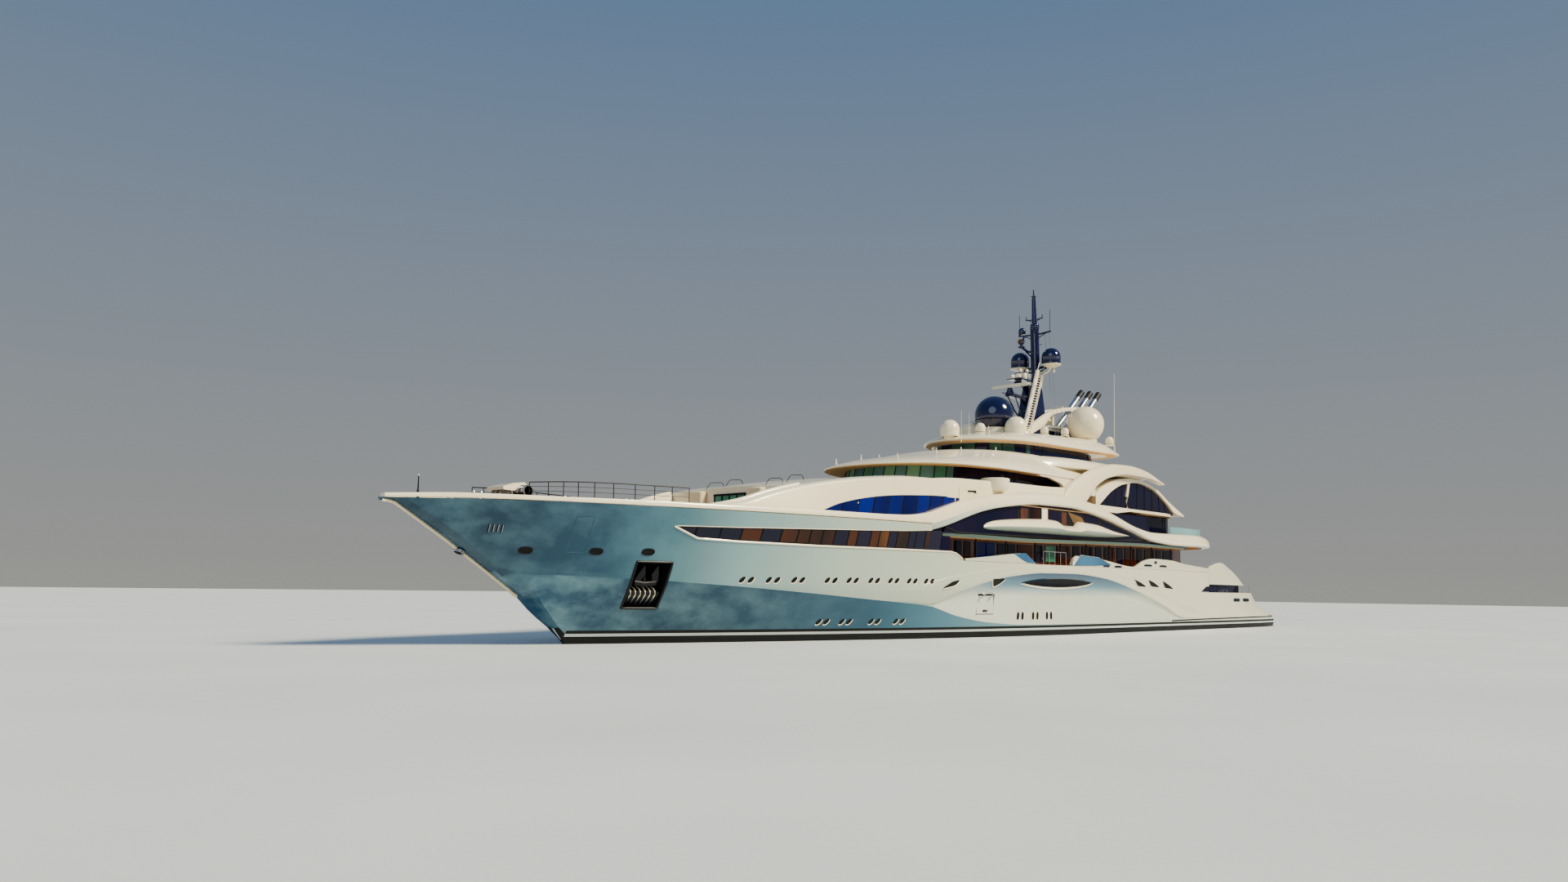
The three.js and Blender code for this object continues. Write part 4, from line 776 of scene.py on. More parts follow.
# Forms shared by the superstructure
ROUND_BAND = [
    (1, 0.02), (0.6, 0.0), (0.3, 0.0), (0.12, 0.04), (0.03, 0.14), (0, 0.35), (0.02, 0.58), (0.1, 0.78),
    (0.22, 0.91), (0.4, 0.98), (0.6, 1.0), (0.8, 0.99), (1, 0.97),
]
PLAIN_BAND = [
    (1, 0), (0.1, 0), (0.02, 0.05), (0, 0.15), (0, 0.85), (0.05, 0.95), (0.25, 1), (0.8, 1), (1, 0.95),
]
FLAT_BAND = [(1, 0), (0, 0), (0, 1), (1, 1)]
OVAL_BAND = [
    (1, 0), (0.75, 0.02), (0.5, 0.08), (0.25, 0.2), (0.06, 0.36), (0, 0.43), (0.01, 0.48), (0.1, 0.6),
    (0.3, 0.77), (0.55, 0.91), (0.8, 0.99), (1, 1),
]


def ribbon(sheets, stations, low, high, outer, depth, section=PLAIN_BAND, side=1, softness=None, look=None):
    """A shaped band along one side, its section as shares of the depth inwards and of the height."""
    rings = []
    for x in stations:
        ring = []
        for inwards, up in section:
            reach = depth(x) if callable(depth) else depth
            if softness and inwards < 1:
                reach *= softness(x)
            ring.append((x, side * max(outer(x) - inwards * reach, -0.01), mix(low(x), high(x), up)))
        rings.append(ring)
    sheets.loft(rings, look)


def plan_ring(power, z, nose, tail, half, nose_length, tail_length=3.0, points=64):
    """The rounded plan outline of a deck or house."""
    def bend(t):
        return math.copysign(abs(t) ** (2 / power), t)
    ring = []
    for t in spread(-0.5, 0.5, points):
        angle = t * math.pi
        ring.append((nose - nose_length + nose_length * bend(math.cos(angle)),
                     half * bend(math.sin(angle)), z))
    for t in spread(0.5, 1.5, points * 2 // 3):
        angle = t * math.pi
        ring.append((tail + tail_length + tail_length * bend(math.cos(angle)),
                     half * bend(math.sin(angle)), z))
    return ring


def block(sheets, stations, half, low, high, look=None, edge=0.0):
    """A block across the ship, its upper edge rounded where asked."""
    rings = []
    for x in stations:
        h, z0, z1 = half(x), low(x), high(x)
        port = [(h, z0), (h, z1)]
        if edge:
            port = [(h, z0), (h, z1 - edge), (h - edge * 0.3, z1 - edge * 0.3), (h - edge, z1)]
        port.append((0.5 * h, z1))
        rings.append(mirrored(x, port, [(0, z1)]) + [(x, 0, z0)])
    sheets.loft(rings, look)


def between(marks, step):
    """Stations through all the marks, no farther apart than the step."""
    out = [marks[0]]
    for a, b in zip(marks, marks[1:]):
        out += spread(a, b, max(1, math.ceil(abs(b - a) / step)))[1:]
    return out


# Sheer band
HOUSE_STEP = 20.9
band_low = straight([
    (61.4, 8.85), (56.5, 8.97), (51.5, 9.01), (20.92, 9.01), (20.88, 8.55), (19.8, 8.76), (18.1, 9.22),
    (16.6, 9.66), (13.6, 10.42), (9.9, 11.01), (4.9, 11.47), (-0.5, 11.54), (-6.2, 11.04), (-12.5, 10.01),
    (-17.8, 9.08), (-22.9, 8.87), (-30.8, 9), (-36.4, 9.05),
])
band_high = smooth([
    (61.4, 9.05), (56.5, 9.27), (51.5, 9.3), (46, 9.35), (41.9, 9.38), (34.7, 9.44), (27.5, 9.47),
    (24.2, 9.55), (21.7, 9.81), (19.5, 10.39), (16.6, 11.15), (13.6, 11.72), (9.9, 12.16), (4.9, 12.58),
    (0.7, 12.7), (-3.9, 12.36), (-9.2, 11.39), (-13.8, 10.44), (-17.8, 10.09), (-22.9, 10.14),
    (-29.2, 10.25), (-33, 10), (-36.4, 9.3),
])
band_low_soft = smooth([
    (20.88, 8.55), (19.8, 8.78), (18.1, 9.23), (16.6, 9.67), (13.6, 10.45), (9.9, 11.03), (4.9, 11.47),
    (-0.5, 11.54), (-6.2, 11.04), (-12.5, 10.01), (-17.8, 9.1), (-22.9, 8.88), (-30.8, 9), (-36.4, 9.05),
])
band_inset = smooth([(-24, 0), (-28, 0.1), (-31, 0.4), (-34, 1.2), (-36.4, 2.6)])
band_depth = smooth([(61.4, 0.3), (50, 0.45), (44.3, 0.5), (43, 0.9), (-36.4, 0.9)])
band_softness = smooth([(44.3, 0.3), (21, 0.35), (15, 1)])


def band_outer(x):
    return deck_edge(x) + 0.02 - band_inset(x)


def band_foot(x):
    return band_low(x) if x > 20.88 else band_low_soft(x)


BAND_STATIONS = between([61.2, 43.9, 43, 20.92, 20.88, -36.4], 0.7)
BAND_SHADED_ROWS = (2, 3, 4)
band = Sheets("white")
for _, side in SIDES:
    first = len(band.faces)
    ribbon(band, BAND_STATIONS, band_foot, band_high, band_outer, band_depth, ROUND_BAND, side,
           band_softness)
    # Aft of the house step the lower face of the band is painted shade, grey-green fading to white.
    for station, x in enumerate(BAND_STATIONS[:-1]):
        if x < HOUSE_STEP:
            band.repaint([first + station * len(ROUND_BAND) + row for row in BAND_SHADED_ROWS], "band_painted_shade")
band.skin("sheer_band", "white_paint", 50.0)


# Forward house: its white cowl, behind the foredeck
HOUSE_ROWS = [  # x, half-breadth, shoulder, crown
    (42, 4.8, 9.08, 9.2), (40.5, 5.8, 9.2, 9.5), (38.5, 6.8, 9.6, 10), (36, 7.3, 10.4, 10.8),
    (33.5, 7.65, 11.05, 11.4), (31, 8, 11.55, 11.88), (28, 8.45, 12, 12.35), (25, 8.7, 12.3, 12.68),
    (22.5, 8.9, 12.55, 12.85), (16.4, 9.19, 12.75, 12.95),
]
house_half, house_shoulder, house_crown = curves(HOUSE_ROWS)
UPPER_DECK = 8.45
GAP = 0.004


def house_ring(x):
    half = house_half(x)
    foot = (FOREDECK if x > HOUSE_STEP else UPPER_DECK) + GAP
    shoulder = house_shoulder(x)
    crown = house_crown(x)
    port = [
        (half, foot), (half, mix(foot, shoulder, 0.5)), (half, shoulder - 0.12), (half - 0.03, shoulder),
        (half - 0.12, mix(shoulder, crown, 0.22)), (half - 0.3, mix(shoulder, crown, 0.42)),
        (half - 0.7, mix(shoulder, crown, 0.62)), (half * 0.78, crown - 0.27), (half * 0.62, crown - 0.18),
        (half * 0.46, crown - 0.08), (half * 0.3, crown - 0.02), (half * 0.1, crown),
    ]
    return mirrored(x, port)


RECESS_AFT = 33.2
RECESS_FLOOR = FOREDECK + 0.03
WING_WALL = 1.25


def recess_ring(x):
    """The cowl ahead of its doors: two wings with the open entrance between them."""
    half = house_half(x)
    shoulder = house_shoulder(x)
    rim = mix(shoulder, house_crown(x), 0.5)
    inner = half - WING_WALL
    port = [
        (half, FOREDECK + GAP), (half, mix(FOREDECK, shoulder, 0.5)), (half, shoulder - 0.06),
        (half - 0.03, shoulder), (half - 0.12, mix(shoulder, rim, 0.5)),
        (half - 0.35, mix(shoulder, rim, 0.9)), (half - 0.6, rim), (half - 0.85, rim),
        (half - 1.05, rim - 0.03), (half - 1.2, rim - 0.08), (inner, max(rim - 0.25, RECESS_FLOOR + 0.01)),
        (inner - 0.02, RECESS_FLOOR),
    ]
    return mirrored(x, port)


cowl = Sheets("white")
cowl.loft([recess_ring(x) for x in between([42, RECESS_AFT + 0.02], 0.4)]
          + [house_ring(x) for x in between([RECESS_AFT, 20.92, 20.88, 16.4], 0.5)])
cowl.build("forward_cowl", slot="white_paint", replaces=("forward_house",), angle=45.0)
recess = Sheets("teak")
block(recess, between([41.5, RECESS_AFT + 0.1], 0.6), lambda x: house_half(x) - WING_WALL - 0.1,
      lambda x: RECESS_FLOOR - 0.01, lambda x: RECESS_FLOOR + 0.015)
recess.build("recess_floor", slot="wood_panel")


# Roofs and houses through plan outlines: height, nose, tail, half-breadth, nose length, tail length
BRIDGE_DECK = 12.3
SUN_DECK = 16.7
TOP_ROOF = 18.95
BRIDGE_ROOF = [
    (14.5, 15.6, -6, 7.2, 11.2), (14.5, 16.9, -6.8, 7.7, 11.7), (14.46, 17.8, -7.4, 8.35, 12.7),
    (14.47, 18.1, -7.6, 8.6, 13), (14.55, 18.15, -7.8, 8.65, 13), (14.66, 18, -8, 8.6, 13),
    (14.95, 17, -8.3, 8.35, 12.6), (15.3, 15.5, -8.6, 8, 12), (15.6, 13.8, -9, 7.65, 11.5),
    (15.9, 12, -9.4, 7.2, 11), (16.2, 10.6, -11, 6.9, 10.4), (16.48, 9.2, -14, 6.55, 9.6),
    (SUN_DECK, 8, -16, 6.2, 9),
]
SUN_DECK_EDGE = [
    (15.6, 3.3, -21.4, 8.4, 13, 4), (15.68, 3.5, -21.6, 8.6, 13, 4), (16, 3.3, -21.6, 8.58, 13, 4),
    (16.25, 3.1, -21.6, 8.5, 13, 4), (16.4, 2.8, -21.5, 8.38, 13, 4), (16.55, 2.5, -21.3, 8.18, 13, 4),
    (16.65, 2.2, -21.1, 7.98, 13, 4), (SUN_DECK - 0.01, 2, -21, 7.85, 13, 4),
]
TOP_ROOF_ROWS = [
    (17.82, 3.7, -20, 5.7, 9, 6), (17.96, 4.4, -22, 6.12, 9.7, 7.6), (18.02, 4.68, -22.6, 6.28, 10, 8),
    (18.12, 4.72, -22.65, 6.3, 10, 8), (18.22, 4.6, -22.5, 6.22, 10, 8),
    (18.34, 4.3, -21.9, 6.1, 9.6, 7.6), (18.46, 3.9, -21.3, 5.94, 9, 7),
    (18.58, 3.45, -20.7, 5.76, 8.6, 6.6), (18.7, 2.9, -20.2, 5.52, 8, 6),
    (18.84, 2.2, -19.6, 5.16, 7.7, 5.6), (18.95, 1.5, -19.2, 4.8, 7.3, 5.2), (19, 0.8, -19, 4.4, 7, 5),
]
CROWN_FOOT = 18.12
crown_lift = smooth([
    (4, 0), (2, 0.02), (-1.7, 0.12), (-5.4, 0.32), (-10, 0.62), (-15.3, 0.76), (-19.3, 0.55), (-21.6, 0.2),
    (-22.7, 0.1),
])
TAIL_LIFT_START = -10
TAIL_LIFT_RATE = 0.05


def tower(sheets, power, levels, look=None):
    sheets.loft([plan_ring(power, *level) for level in levels], look)


def roof_shaped(x, y, z):
    """The top roof's place with its tail lifted and its crown rising aft."""
    tail = max(TAIL_LIFT_START - x, 0) * TAIL_LIFT_RATE * max(TOP_ROOF - z, 0)
    return (x, y, z + tail + crown_lift(x) * clamp((z - CROWN_FOOT) / (19 - CROWN_FOOT)))


def roof_crown(x):
    """The height of the top roof at its middle."""
    return straight([(4.72, 18.2), (3.9, 18.46), (2.2, 18.84), (0.8, 19), (-30, 19)])(x) + crown_lift(x)


roofs = Sheets("roof")
tower(roofs, 2.4, BRIDGE_ROOF)
SOFFIT_RINGS = 3
ring_size = len(plan_ring(2, 0, 0, -1, 1, 1))
roofs.repaint([*range(SOFFIT_RINGS * ring_size), -2], "soffit_painted_warm_light")
tower(roofs, 2.6, SUN_DECK_EDGE)
flank_low = straight([(2.4, 14.35), (0.6, 14.3), (-1.5, 13.9), (-2.4, 13.2), (-8, 13.2)])
for _, side in SIDES:
    ribbon(roofs, between([2.4, 0.6, -1.5, -2.4, -8], 0.4), flank_low, lambda x: 14.55, lambda x: 8.55, 0.3,
           FLAT_BAND, side, look="white")
roofs.skin("bridge_roof", "white_paint", 30.0)
top = Sheets("roof")
tower(top, 2.3, TOP_ROOF_ROWS)
top.repaint(range(ring_size), "soffit_painted_warm_light")
top.vertices = [roof_shaped(*place) for place in top.vertices]
top.skin("top_roof", "white_paint", 30.0)


# Lounge under its arched roof, and the arches outside it
LOUNGE_HALF = 8.5
fan_top = smooth([
    (-8.9, 12.4), (-9.6, 12.83), (-11.6, 14), (-14.1, 14.83), (-17.4, 15.2), (-20.8, 14.79),
    (-24.3, 13.42), (-26.1, 12.55), (-28.5, 12.31),
])
fan_roof = smooth([
    (-6.8, 12.5), (-8, 13.4), (-10.8, 14.75), (-13.5, 15.35), (-16, 15.55), (-19, 15.4), (-21.5, 14.95),
    (-24.5, 13.8), (-28.5, 12.45),
])
lounge_roof = Sheets("roof")
block(lounge_roof, between([-8.2, -28.4], 0.4), lambda x: LOUNGE_HALF,
      lambda x: max(fan_top(x), BRIDGE_DECK + GAP), fan_roof, edge=0.12)
lounge_roof.skin("lounge_roof", "white_paint", 40.0)
outer_high = smooth([
    (-0.7, 12.55), (-1.4, 13.3), (-3.4, 14.5), (-5.9, 15.5), (-8.9, 16.3), (-11.3, 16.6), (-14.5, 16.72),
    (-17.6, 16.5), (-22, 15.4),
])
outer_low = smooth([
    (-0.7, 12.34), (-4.8, 12.34), (-5.9, 13.1), (-7.4, 14.2), (-9.8, 15.1), (-13.5, 15.65), (-17.4, 15.7),
    (-22, 15.25),
])
ARCH_Y = 9.3
ARCH_DEPTH = 0.64
for name, side in SIDES:
    arch = Sheets("white")
    ribbon(arch, spread(-0.75, -21.8, 60), outer_low, outer_high, lambda x: ARCH_Y, ARCH_DEPTH, ROUND_BAND,
           side)
    arch.skin(f"outer_arch_{name}", "white_paint", 50.0)


# Balconies
POD_MIDDLE = 0.4
POD_REACH = 13.1
POD_UNDER_ROWS = 4
HOUSE_SIDE = 9.68
pod_low = smooth([(13.5, 9.05), (12.5, 8.95), (11, 8.95), (5, 9), (-3, 9.05), (-9, 9.2), (-12.7, 9.46)])
pod_high = smooth([
    (13.5, 9.2), (12.9, 9.5), (11.2, 9.82), (5.6, 10.22), (3.1, 10.3), (1.9, 10.26), (1, 9.9),
    (-1.5, 9.92), (-2.3, 10.38), (-5.5, 10.3), (-9, 9.85), (-12.7, 9.52),
])


def pod_reach(x):
    return 0.95 * math.sqrt(max(1 - ((x - POD_MIDDLE) / POD_REACH) ** 2, 0.01))


for name, side in SIDES:
    pod = Sheets("white")
    ribbon(pod, between([13.4, 1.9, 1, -1.5, -2.3, -12.6], 0.45), pod_low, pod_high,
           lambda x: HOUSE_SIDE + GAP + pod_reach(x), pod_reach, OVAL_BAND, side)
    # The lower rows of each balcony take the greenish painted shade.
    under = [face for face in range(len(pod.faces) - 2) if face % len(OVAL_BAND) < POD_UNDER_ROWS]
    pod.repaint(under, "under")
    pod.skin(f"balcony_{name}", "white_paint", 50.0)


# Wing bulwarks and quarter bulwarks on the main deck
wing_high = smooth([(16.2, 6.45), (14.1, 6.61), (10, 6.98), (7.8, 7.13), (7, 6.95), (5.7, 6.3)])
quarter_high = smooth([
    (-0.6, 6.4), (-1.6, 7.2), (-6.4, 7), (-13, 6.45), (-15.5, 7.15), (-17.5, 7.38), (-21.4, 7.34),
    (-24.8, 7.04), (-30.6, 6.73),
])
fin_high = smooth([(-31.2, 6.85), (-34.6, 7.4), (-37.8, 6.65), (-39.7, 5.95), (-41.8, 4.98)])
fin_low = smooth([(-31.2, 4.95), (-41.8, 4.9)])
BULWARK_LEAN = 0.02


def bulwark_outer_at(x, z=MAIN_DECK):
    return side_at(x, MAIN_DECK) - BULWARK_LEAN


for name, side in SIDES:
    wing = Sheets("hull_high")
    ribbon(wing, between([16.2, 5.8], 0.4), lambda x: MAIN_DECK + GAP, wing_high, bulwark_outer_at, 0.35,
           side=side)
    wing.skin(f"wing_bulwark_{name}", "hull_paint", 50.0)
    quarter = Sheets("hull_high")
    ribbon(quarter, between([-0.8, -31.5], 0.4), lambda x: MAIN_DECK + GAP, quarter_high, bulwark_outer_at,
           0.35, side=side)
    ribbon(quarter, between([-31.31, -41.8], 0.4), fin_low, fin_high, lambda x: side_at(x, 6) - 0.005, 0.4,
           side=side)
    quarter.skin(f"quarter_bulwark_{name}", "hull_paint", 50.0)


# Marks on the hull's sides
def oval(x, z, long, tall, lean=0.0, power=2.4, count=24):
    """A rounded outline on a side, leaning aft with its height."""
    out = []
    for c, d in circle(count):
        u = math.copysign(abs(c) ** (2 / power), c)
        v = math.copysign(abs(d) ** (2 / power), d)
        out.append((x + u * long - lean * v * tall, z + v * tall))
    return out


def grown(outline, by_x, by_z, dx=0.0, dz=0.0):
    """An outline stretched about its middle and moved."""
    x0, z0 = middle(outline)
    return [(x0 + (x - x0) * by_x + dx, z0 + (z - z0) * by_z + dz) for x, z in outline]


PORTHOLES = [
    (37.5, 4.4), (35.4, 4.42), (33.3, 4.45), (30.4, 4.47), (28.4, 4.5), (26.3, 4.52), (24.3, 4.54),
    (22.3, 4.55), (20.4, 4.56), (29.7, 1.42), (27.6, 1.42), (24.8, 1.42), (22.3, 1.42),
]
SCOOP_PORTS = [(7.3, 1.75), (5.0, 1.75), (2.8, 1.75)]
PORT_HALF_GAP = 0.34
EYE = [
    (7.3, 4.59), (6.2, 4.76), (4.6, 4.91), (2.8, 5.0), (0.9, 5.04), (-1.2, 5.02), (-3.2, 4.92),
    (-4.8, 4.74), (-4.1, 4.56), (-2.4, 4.39), (-0.5, 4.3), (1.4, 4.27), (3.6, 4.31), (5.6, 4.42),
]
VENTS = [
    [(18.55, 4.1), (17.75, 4.52), (17.1, 4.64), (17.5, 4.3)],
    [(12.3, 4.8), (10.75, 4.83), (11.2, 4.5), (11.75, 4.3)],
    [(-13.1, 5.15), (-14.1, 4.9), (-15.1, 4.55), (-13.6, 4.6)],
    [(-16.4, 5.12), (-17.4, 4.9), (-18.4, 4.54), (-16.9, 4.6)],
    [(-19.7, 5.04), (-20.7, 4.76), (-21.7, 4.4), (-20.1, 4.48)],
]
FAIRLEADS = [(52.8, 5.97), (48.55, 6.02), (45.2, 6.08)]
BULLNOSE = (56.12, 5.86)
BOW_VENTS = (55.3, 55.05, 54.8, 54.55)
BOW_VENT_HEIGHTS = (7.02, 7.46)
SHELL_DOOR = ((50.45, 8.12), (49.36, 8.2), (49.27, 5.95), (50.37, 5.93))
STERN_SLOTS = [(-38.3, -40.3), (-41.4, -43.6)]
STERN_SLOT_HEIGHTS = (3.08, 3.36)
RUB_STRIPE = [(-22.0, 1.02), (-30.0, 1.12), (-38.0, 1.17), (-46.0, 1.22), (-52.0, 1.22)]

# Two sorts of round window: places, aft shift of the rim, its drop, half sizes of rim and pane, lean. The
# white frame sits aft and low of its pane so that it shows as a crescent, a painted highlight.
PORT_SORTS = [
    (PORTHOLES, 0.04, 0.05, (0.22, 0.24), (0.175, 0.205), 0.5),
    (SCOOP_PORTS, 0.07, 0, (0.23, 0.36), (0.17, 0.34), 0.2),
]


def add_ports(sheets, place):
    for places, shift, drop, rim, pane, lean in PORT_SORTS:
        for x, z in places:
            for step in (PORT_HALF_GAP, -PORT_HALF_GAP):
                sheets.patch(oval(x + step - shift, z - drop, *rim, lean), place, 0.012, "white", rings=2)
                sheets.patch(oval(x + step, z, *pane, lean), place, 0.024, "seam", rings=2)


def softened(corners, steps=5):
    """An outline with extra points between its corners and its corners drawn in."""
    out = []
    for i, corner in enumerate(corners):
        before = corners[i - 1]
        after = corners[(i + 1) % len(corners)]
        for t in spread(0, 1, steps)[:-1]:
            a = [mix(mix(b, c, 0.75), c, t) for b, c in zip(before, corner)]
            b = [mix(c, mix(c, d, 0.25), t) for c, d in zip(corner, after)]
            out.append(tuple(mix(u, v, t) for u, v in zip(a, b)))
    return out


def traced(place, corners, count=8):
    """Points on a side along the straight edges between corners."""
    return [
        place(mix(x0, x1, t), mix(z0, z1, t))
        for (x0, z0), (x1, z1) in zip(corners, corners[1:] + corners[:1]) for t in spread(0, 1, count)[:-1]
    ]


def add_openings(sheets, place):
    """Fairleads, vents in the bow, the shell door, the anchor pocket's frame and the slots aft; the
    near-black fill of the fairleads and slots is painted shade inside the openings.
    """
    for x, z in FAIRLEADS:
        sheets.patch(oval(x, z, 0.36, 0.15), place, 0.02, "seam", rings=2)
        sheets.loop([place(a, b, 0.02) for a, b in oval(x, z, 0.4, 0.19)], 0.045, "dark")
    low, high = BOW_VENT_HEIGHTS
    for x in BOW_VENTS:
        outline = [(x + 0.02, low), (x - 0.06, low), (x - 0.02, high), (x + 0.06, high)]
        sheets.patch(outline, place, 0.015, "seam", rings=1)
        sheets.rod([place(x - 0.08, low, 0.01), place(x - 0.04, high, 0.01)], 0.02, "steel", 5)
    sheets.loop(traced(place, SHELL_DOOR), 0.018, "hull_low", 4)
    sheets.loop(traced(place, POCKET), 0.09, "dark", 8)
    low, high = STERN_SLOT_HEIGHTS
    for fore, aft in STERN_SLOTS:
        x, z, long, tall = (fore + aft) / 2, (low + high) / 2, (fore - aft) / 2, (high - low) / 2
        sheets.patch(oval(x, z, long, tall, 0, 4), place, 0.012, "seam", rings=3)
        rim = oval(x, z, long + 0.05, tall + 0.05, 0, 4)
        sheets.loop([place(a, b, 0.01) for a, b in rim], 0.04, "steel")


for name, side in SIDES:
    marks = Sheets("white")
    place = placer(side, skin_y)
    add_ports(marks, place)
    marks.patch(grown(EYE, 1.05, 1.25, -0.05, -0.08), place, 0.06, rings=8)
    marks.patch(EYE, place, 0.085, "night_glass", rings=8)
    for vent in VENTS:
        outline = grown(softened(vent), 1.35, 1.3)
        marks.patch(grown(outline, 1.14, 1.16, -0.07, -0.07), place, 0.05, rings=3)
        marks.patch(outline, place, 0.075, "seam", rings=3)
    add_openings(marks, place)
    line = straight(RUB_STRIPE)
    stripe = [place(x, line(x)) for x in between([RUB_STRIPE[0][0], RUB_STRIPE[-1][0]], 0.5)]
    marks.rod(stripe, 0.07, "dark", 6)
    marks.build(f"hull_marks_{name}", slot="steel")


# Window strip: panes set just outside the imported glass, posts and the light sill
PANE_MARKS = [
    43.4, 42.3, 40.5, 38.9, 37.3, 35.7, 34.3, 33.2, 32.1, 31.0, 29.7, 28.8, 27.5, 26.6, 25.6, 24.7, 23.4,
    22.6, 21.5, 20.95,
]
PANE_LOOKS = [
    "glass", "glass", "glass", "bronze_glass", "glass", "bronze_glass", "bronze_glass", "bronze_glass",
    "bronze_glass", "glass", "bronze_glass", "glass", "bronze_glass", "amber_glass", "glass",
    "bronze_glass", "glass", "glass", "bronze_glass",
]
POST_HALF = 0.06
SILL_LINE = [(43.98, 7.8), (42.1, 7.08), (39.1, 6.97), (32.5, 6.9), (18.2, 6.92)]
SILL_END = [(18.2, 6.92), (17.6, 6.82), (17.1, 6.62), (16.7, 6.42)]
for name, side in SIDES:
    strip = Sheets("glass")
    place = placer(side, side_at)
    for fore, aft, look in zip(PANE_MARKS, PANE_MARKS[1:], PANE_LOOKS):
        rings = []
        for x in spread(fore - POST_HALF, aft + POST_HALF, 4):
            low, high = strip_sill(x) + 0.1, strip_head(x) - 0.03
            rings.append([place(x, low, -0.12), place(x, low, -0.08), place(x, high, -0.08),
                          place(x, high, -0.12)])
        strip.loft(rings, look)
    for x in PANE_MARKS[1:-1]:
        low, high = strip_sill(x) + 0.06, strip_head(x)
        strip.rod([place(x, mix(low, high, t), -0.09) for t in spread(0, 1, 3)], POST_HALF * 0.8, "seam", 6)
    sill = straight(SILL_LINE)
    sill_points = [place(x, sill(x)) for x in between([43.98, 42.1, 18.2], 0.6)]
    strip.rod(sill_points + [place(x, z) for x, z in SILL_END[1:]], 0.075, "white")
    strip.rod([place(x, strip_head(x), -0.02) for x in between([43.8, 21], 0.8)], 0.035, "white", 6)
    strip.build(f"strip_{name}", slot="dark_glass")


# Main deck: windows in the joinery wall and posts under the upper deck
slab_base = straight([(21, 8.15), (6, 8.15), (-6, 8.42), (-15, 8.57), (-27.1, 8.6), (-28.2, 9), (-40, 9)])
upper_top = straight([
    (21, 8.45), (6, 8.45), (-6, 8.7), (-15, 8.85), (-27.1, 8.85), (-27.6, 9.27), (-40, 9.27),
])
WALL_Y = 8.3
WALL_WINDOWS = [
    (15.6, 14.6, "glass"), (14.2, 13.3, "bronze_glass"), (12.6, 9.6, "blue"), (9.1, 7.9, "glass"),
    (7.5, 6.3, "glass"), (5.9, 3.4, "bronze_glass"), (3.0, 1.6, "glass"), (1.1, -0.6, "green"),
    (-1.0, -3.4, "bronze_glass"), (-4.0, -5.2, "glass"), (-5.7, -7.9, "bronze_glass"),
    (-8.4, -9.6, "glass"), (-10.2, -12.4, "bronze_glass"), (-12.9, -14.1, "glass"),
    (-14.6, -16.8, "bronze_glass"), (-17.3, -18.5, "glass"), (-19.0, -21.2, "bronze_glass"),
    (-21.7, -22.9, "glass"), (-23.4, -25.6, "glass"),
]
DECK_POSTS = [14.0, 9.4, 4.6, 0.2, -4.6, -9.2, -13.8, -18.4, -23.0]


def square(fore, aft, low, high):
    """A rectangle on a side, with a point halfway along every edge."""
    x, z = mix(fore, aft, 0.5), mix(low, high, 0.5)
    return [(fore, low), (x, low), (aft, low), (aft, z), (aft, high), (x, high), (fore, high), (fore, z)]


for name, side in SIDES:
    wall = Sheets("glass")
    place = placer(side, lambda x, z: WALL_Y)
    for fore, aft, look in WALL_WINDOWS:
        low, high = MAIN_DECK + 0.35, slab_base(fore) - 0.22
        wall.patch(square(fore + 0.06, aft - 0.06, low - 0.06, high + 0.06), place, 0.03, "seam", rings=1)
        wall.patch(square(fore, aft, low, high), place, 0.05, look, rings=1)
    for x in DECK_POSTS:
        post = [(x, side * 9.35, MAIN_DECK + 0.02), (x, side * 9.35, slab_base(x) - 0.02)]
        wall.rod(post, 0.06, "seam", 12)
    wall.build(f"deck_wall_{name}", slot="wood_panel")


# Decks: the upper deck's slab and the bridge deck, teak above and pale below; the warm undersides are
# painted bounce light and the slab's dark edge is painted shade
SLAB_ROWS = ("edge", "top", "top", "top", "top", "edge", "under", "under")


def deck_slab(sheets, stations, half, low, high, top, edge, under):
    """A block across the ship with its own finish on top, on its edge and underneath."""
    first = len(sheets.faces)
    block(sheets, stations, half, low, high, edge)
    looks = {"top": top, "edge": edge, "under": under}
    for face in range((len(stations) - 1) * len(SLAB_ROWS)):
        sheets.finishes[first + face] = looks[SLAB_ROWS[face % len(SLAB_ROWS)]]


INNER_SIDE = 9.28
upper_deck_aft = straight([
    (21, 9.55), (19, 9.55), (14, 9.8), (6, 9.9), (-24, 9.9), (-25.5, 9.7), (-26.5, 9.3), (-31, 9.3),
    (-34, 8.4), (-36.4, 6.4), (-37.4, 4.5), (-37.8, 2),
])


def inside_band(x):
    return min(band_outer(x) - band_depth(x) - GAP, INNER_SIDE)


def upper_deck_half(x):
    if x > 19:
        return inside_band(x)
    if x < -26:
        return min(inside_band(max(x, -36.4)) - 0.1, upper_deck_aft(x))
    return upper_deck_aft(x)


slab = Sheets("teak")
SLAB_MARKS = [
    20.85, 20, 19.2, 19, 14, 6, -6, -15, -24, -25.5, -26.5, -27.1, -27.6, -28.2, -29, -31, -33, -34.8,
    -36.4, -37.4, -37.8,
]
deck_slab(slab, between(SLAB_MARKS, 0.8), upper_deck_half, slab_base, upper_top, "teak", "slab_edge_painted_shade",
          "soffit_painted_warm_light")
slab.build("upper_deck_slab", slot="white_paint", replaces=("upper_deck",))

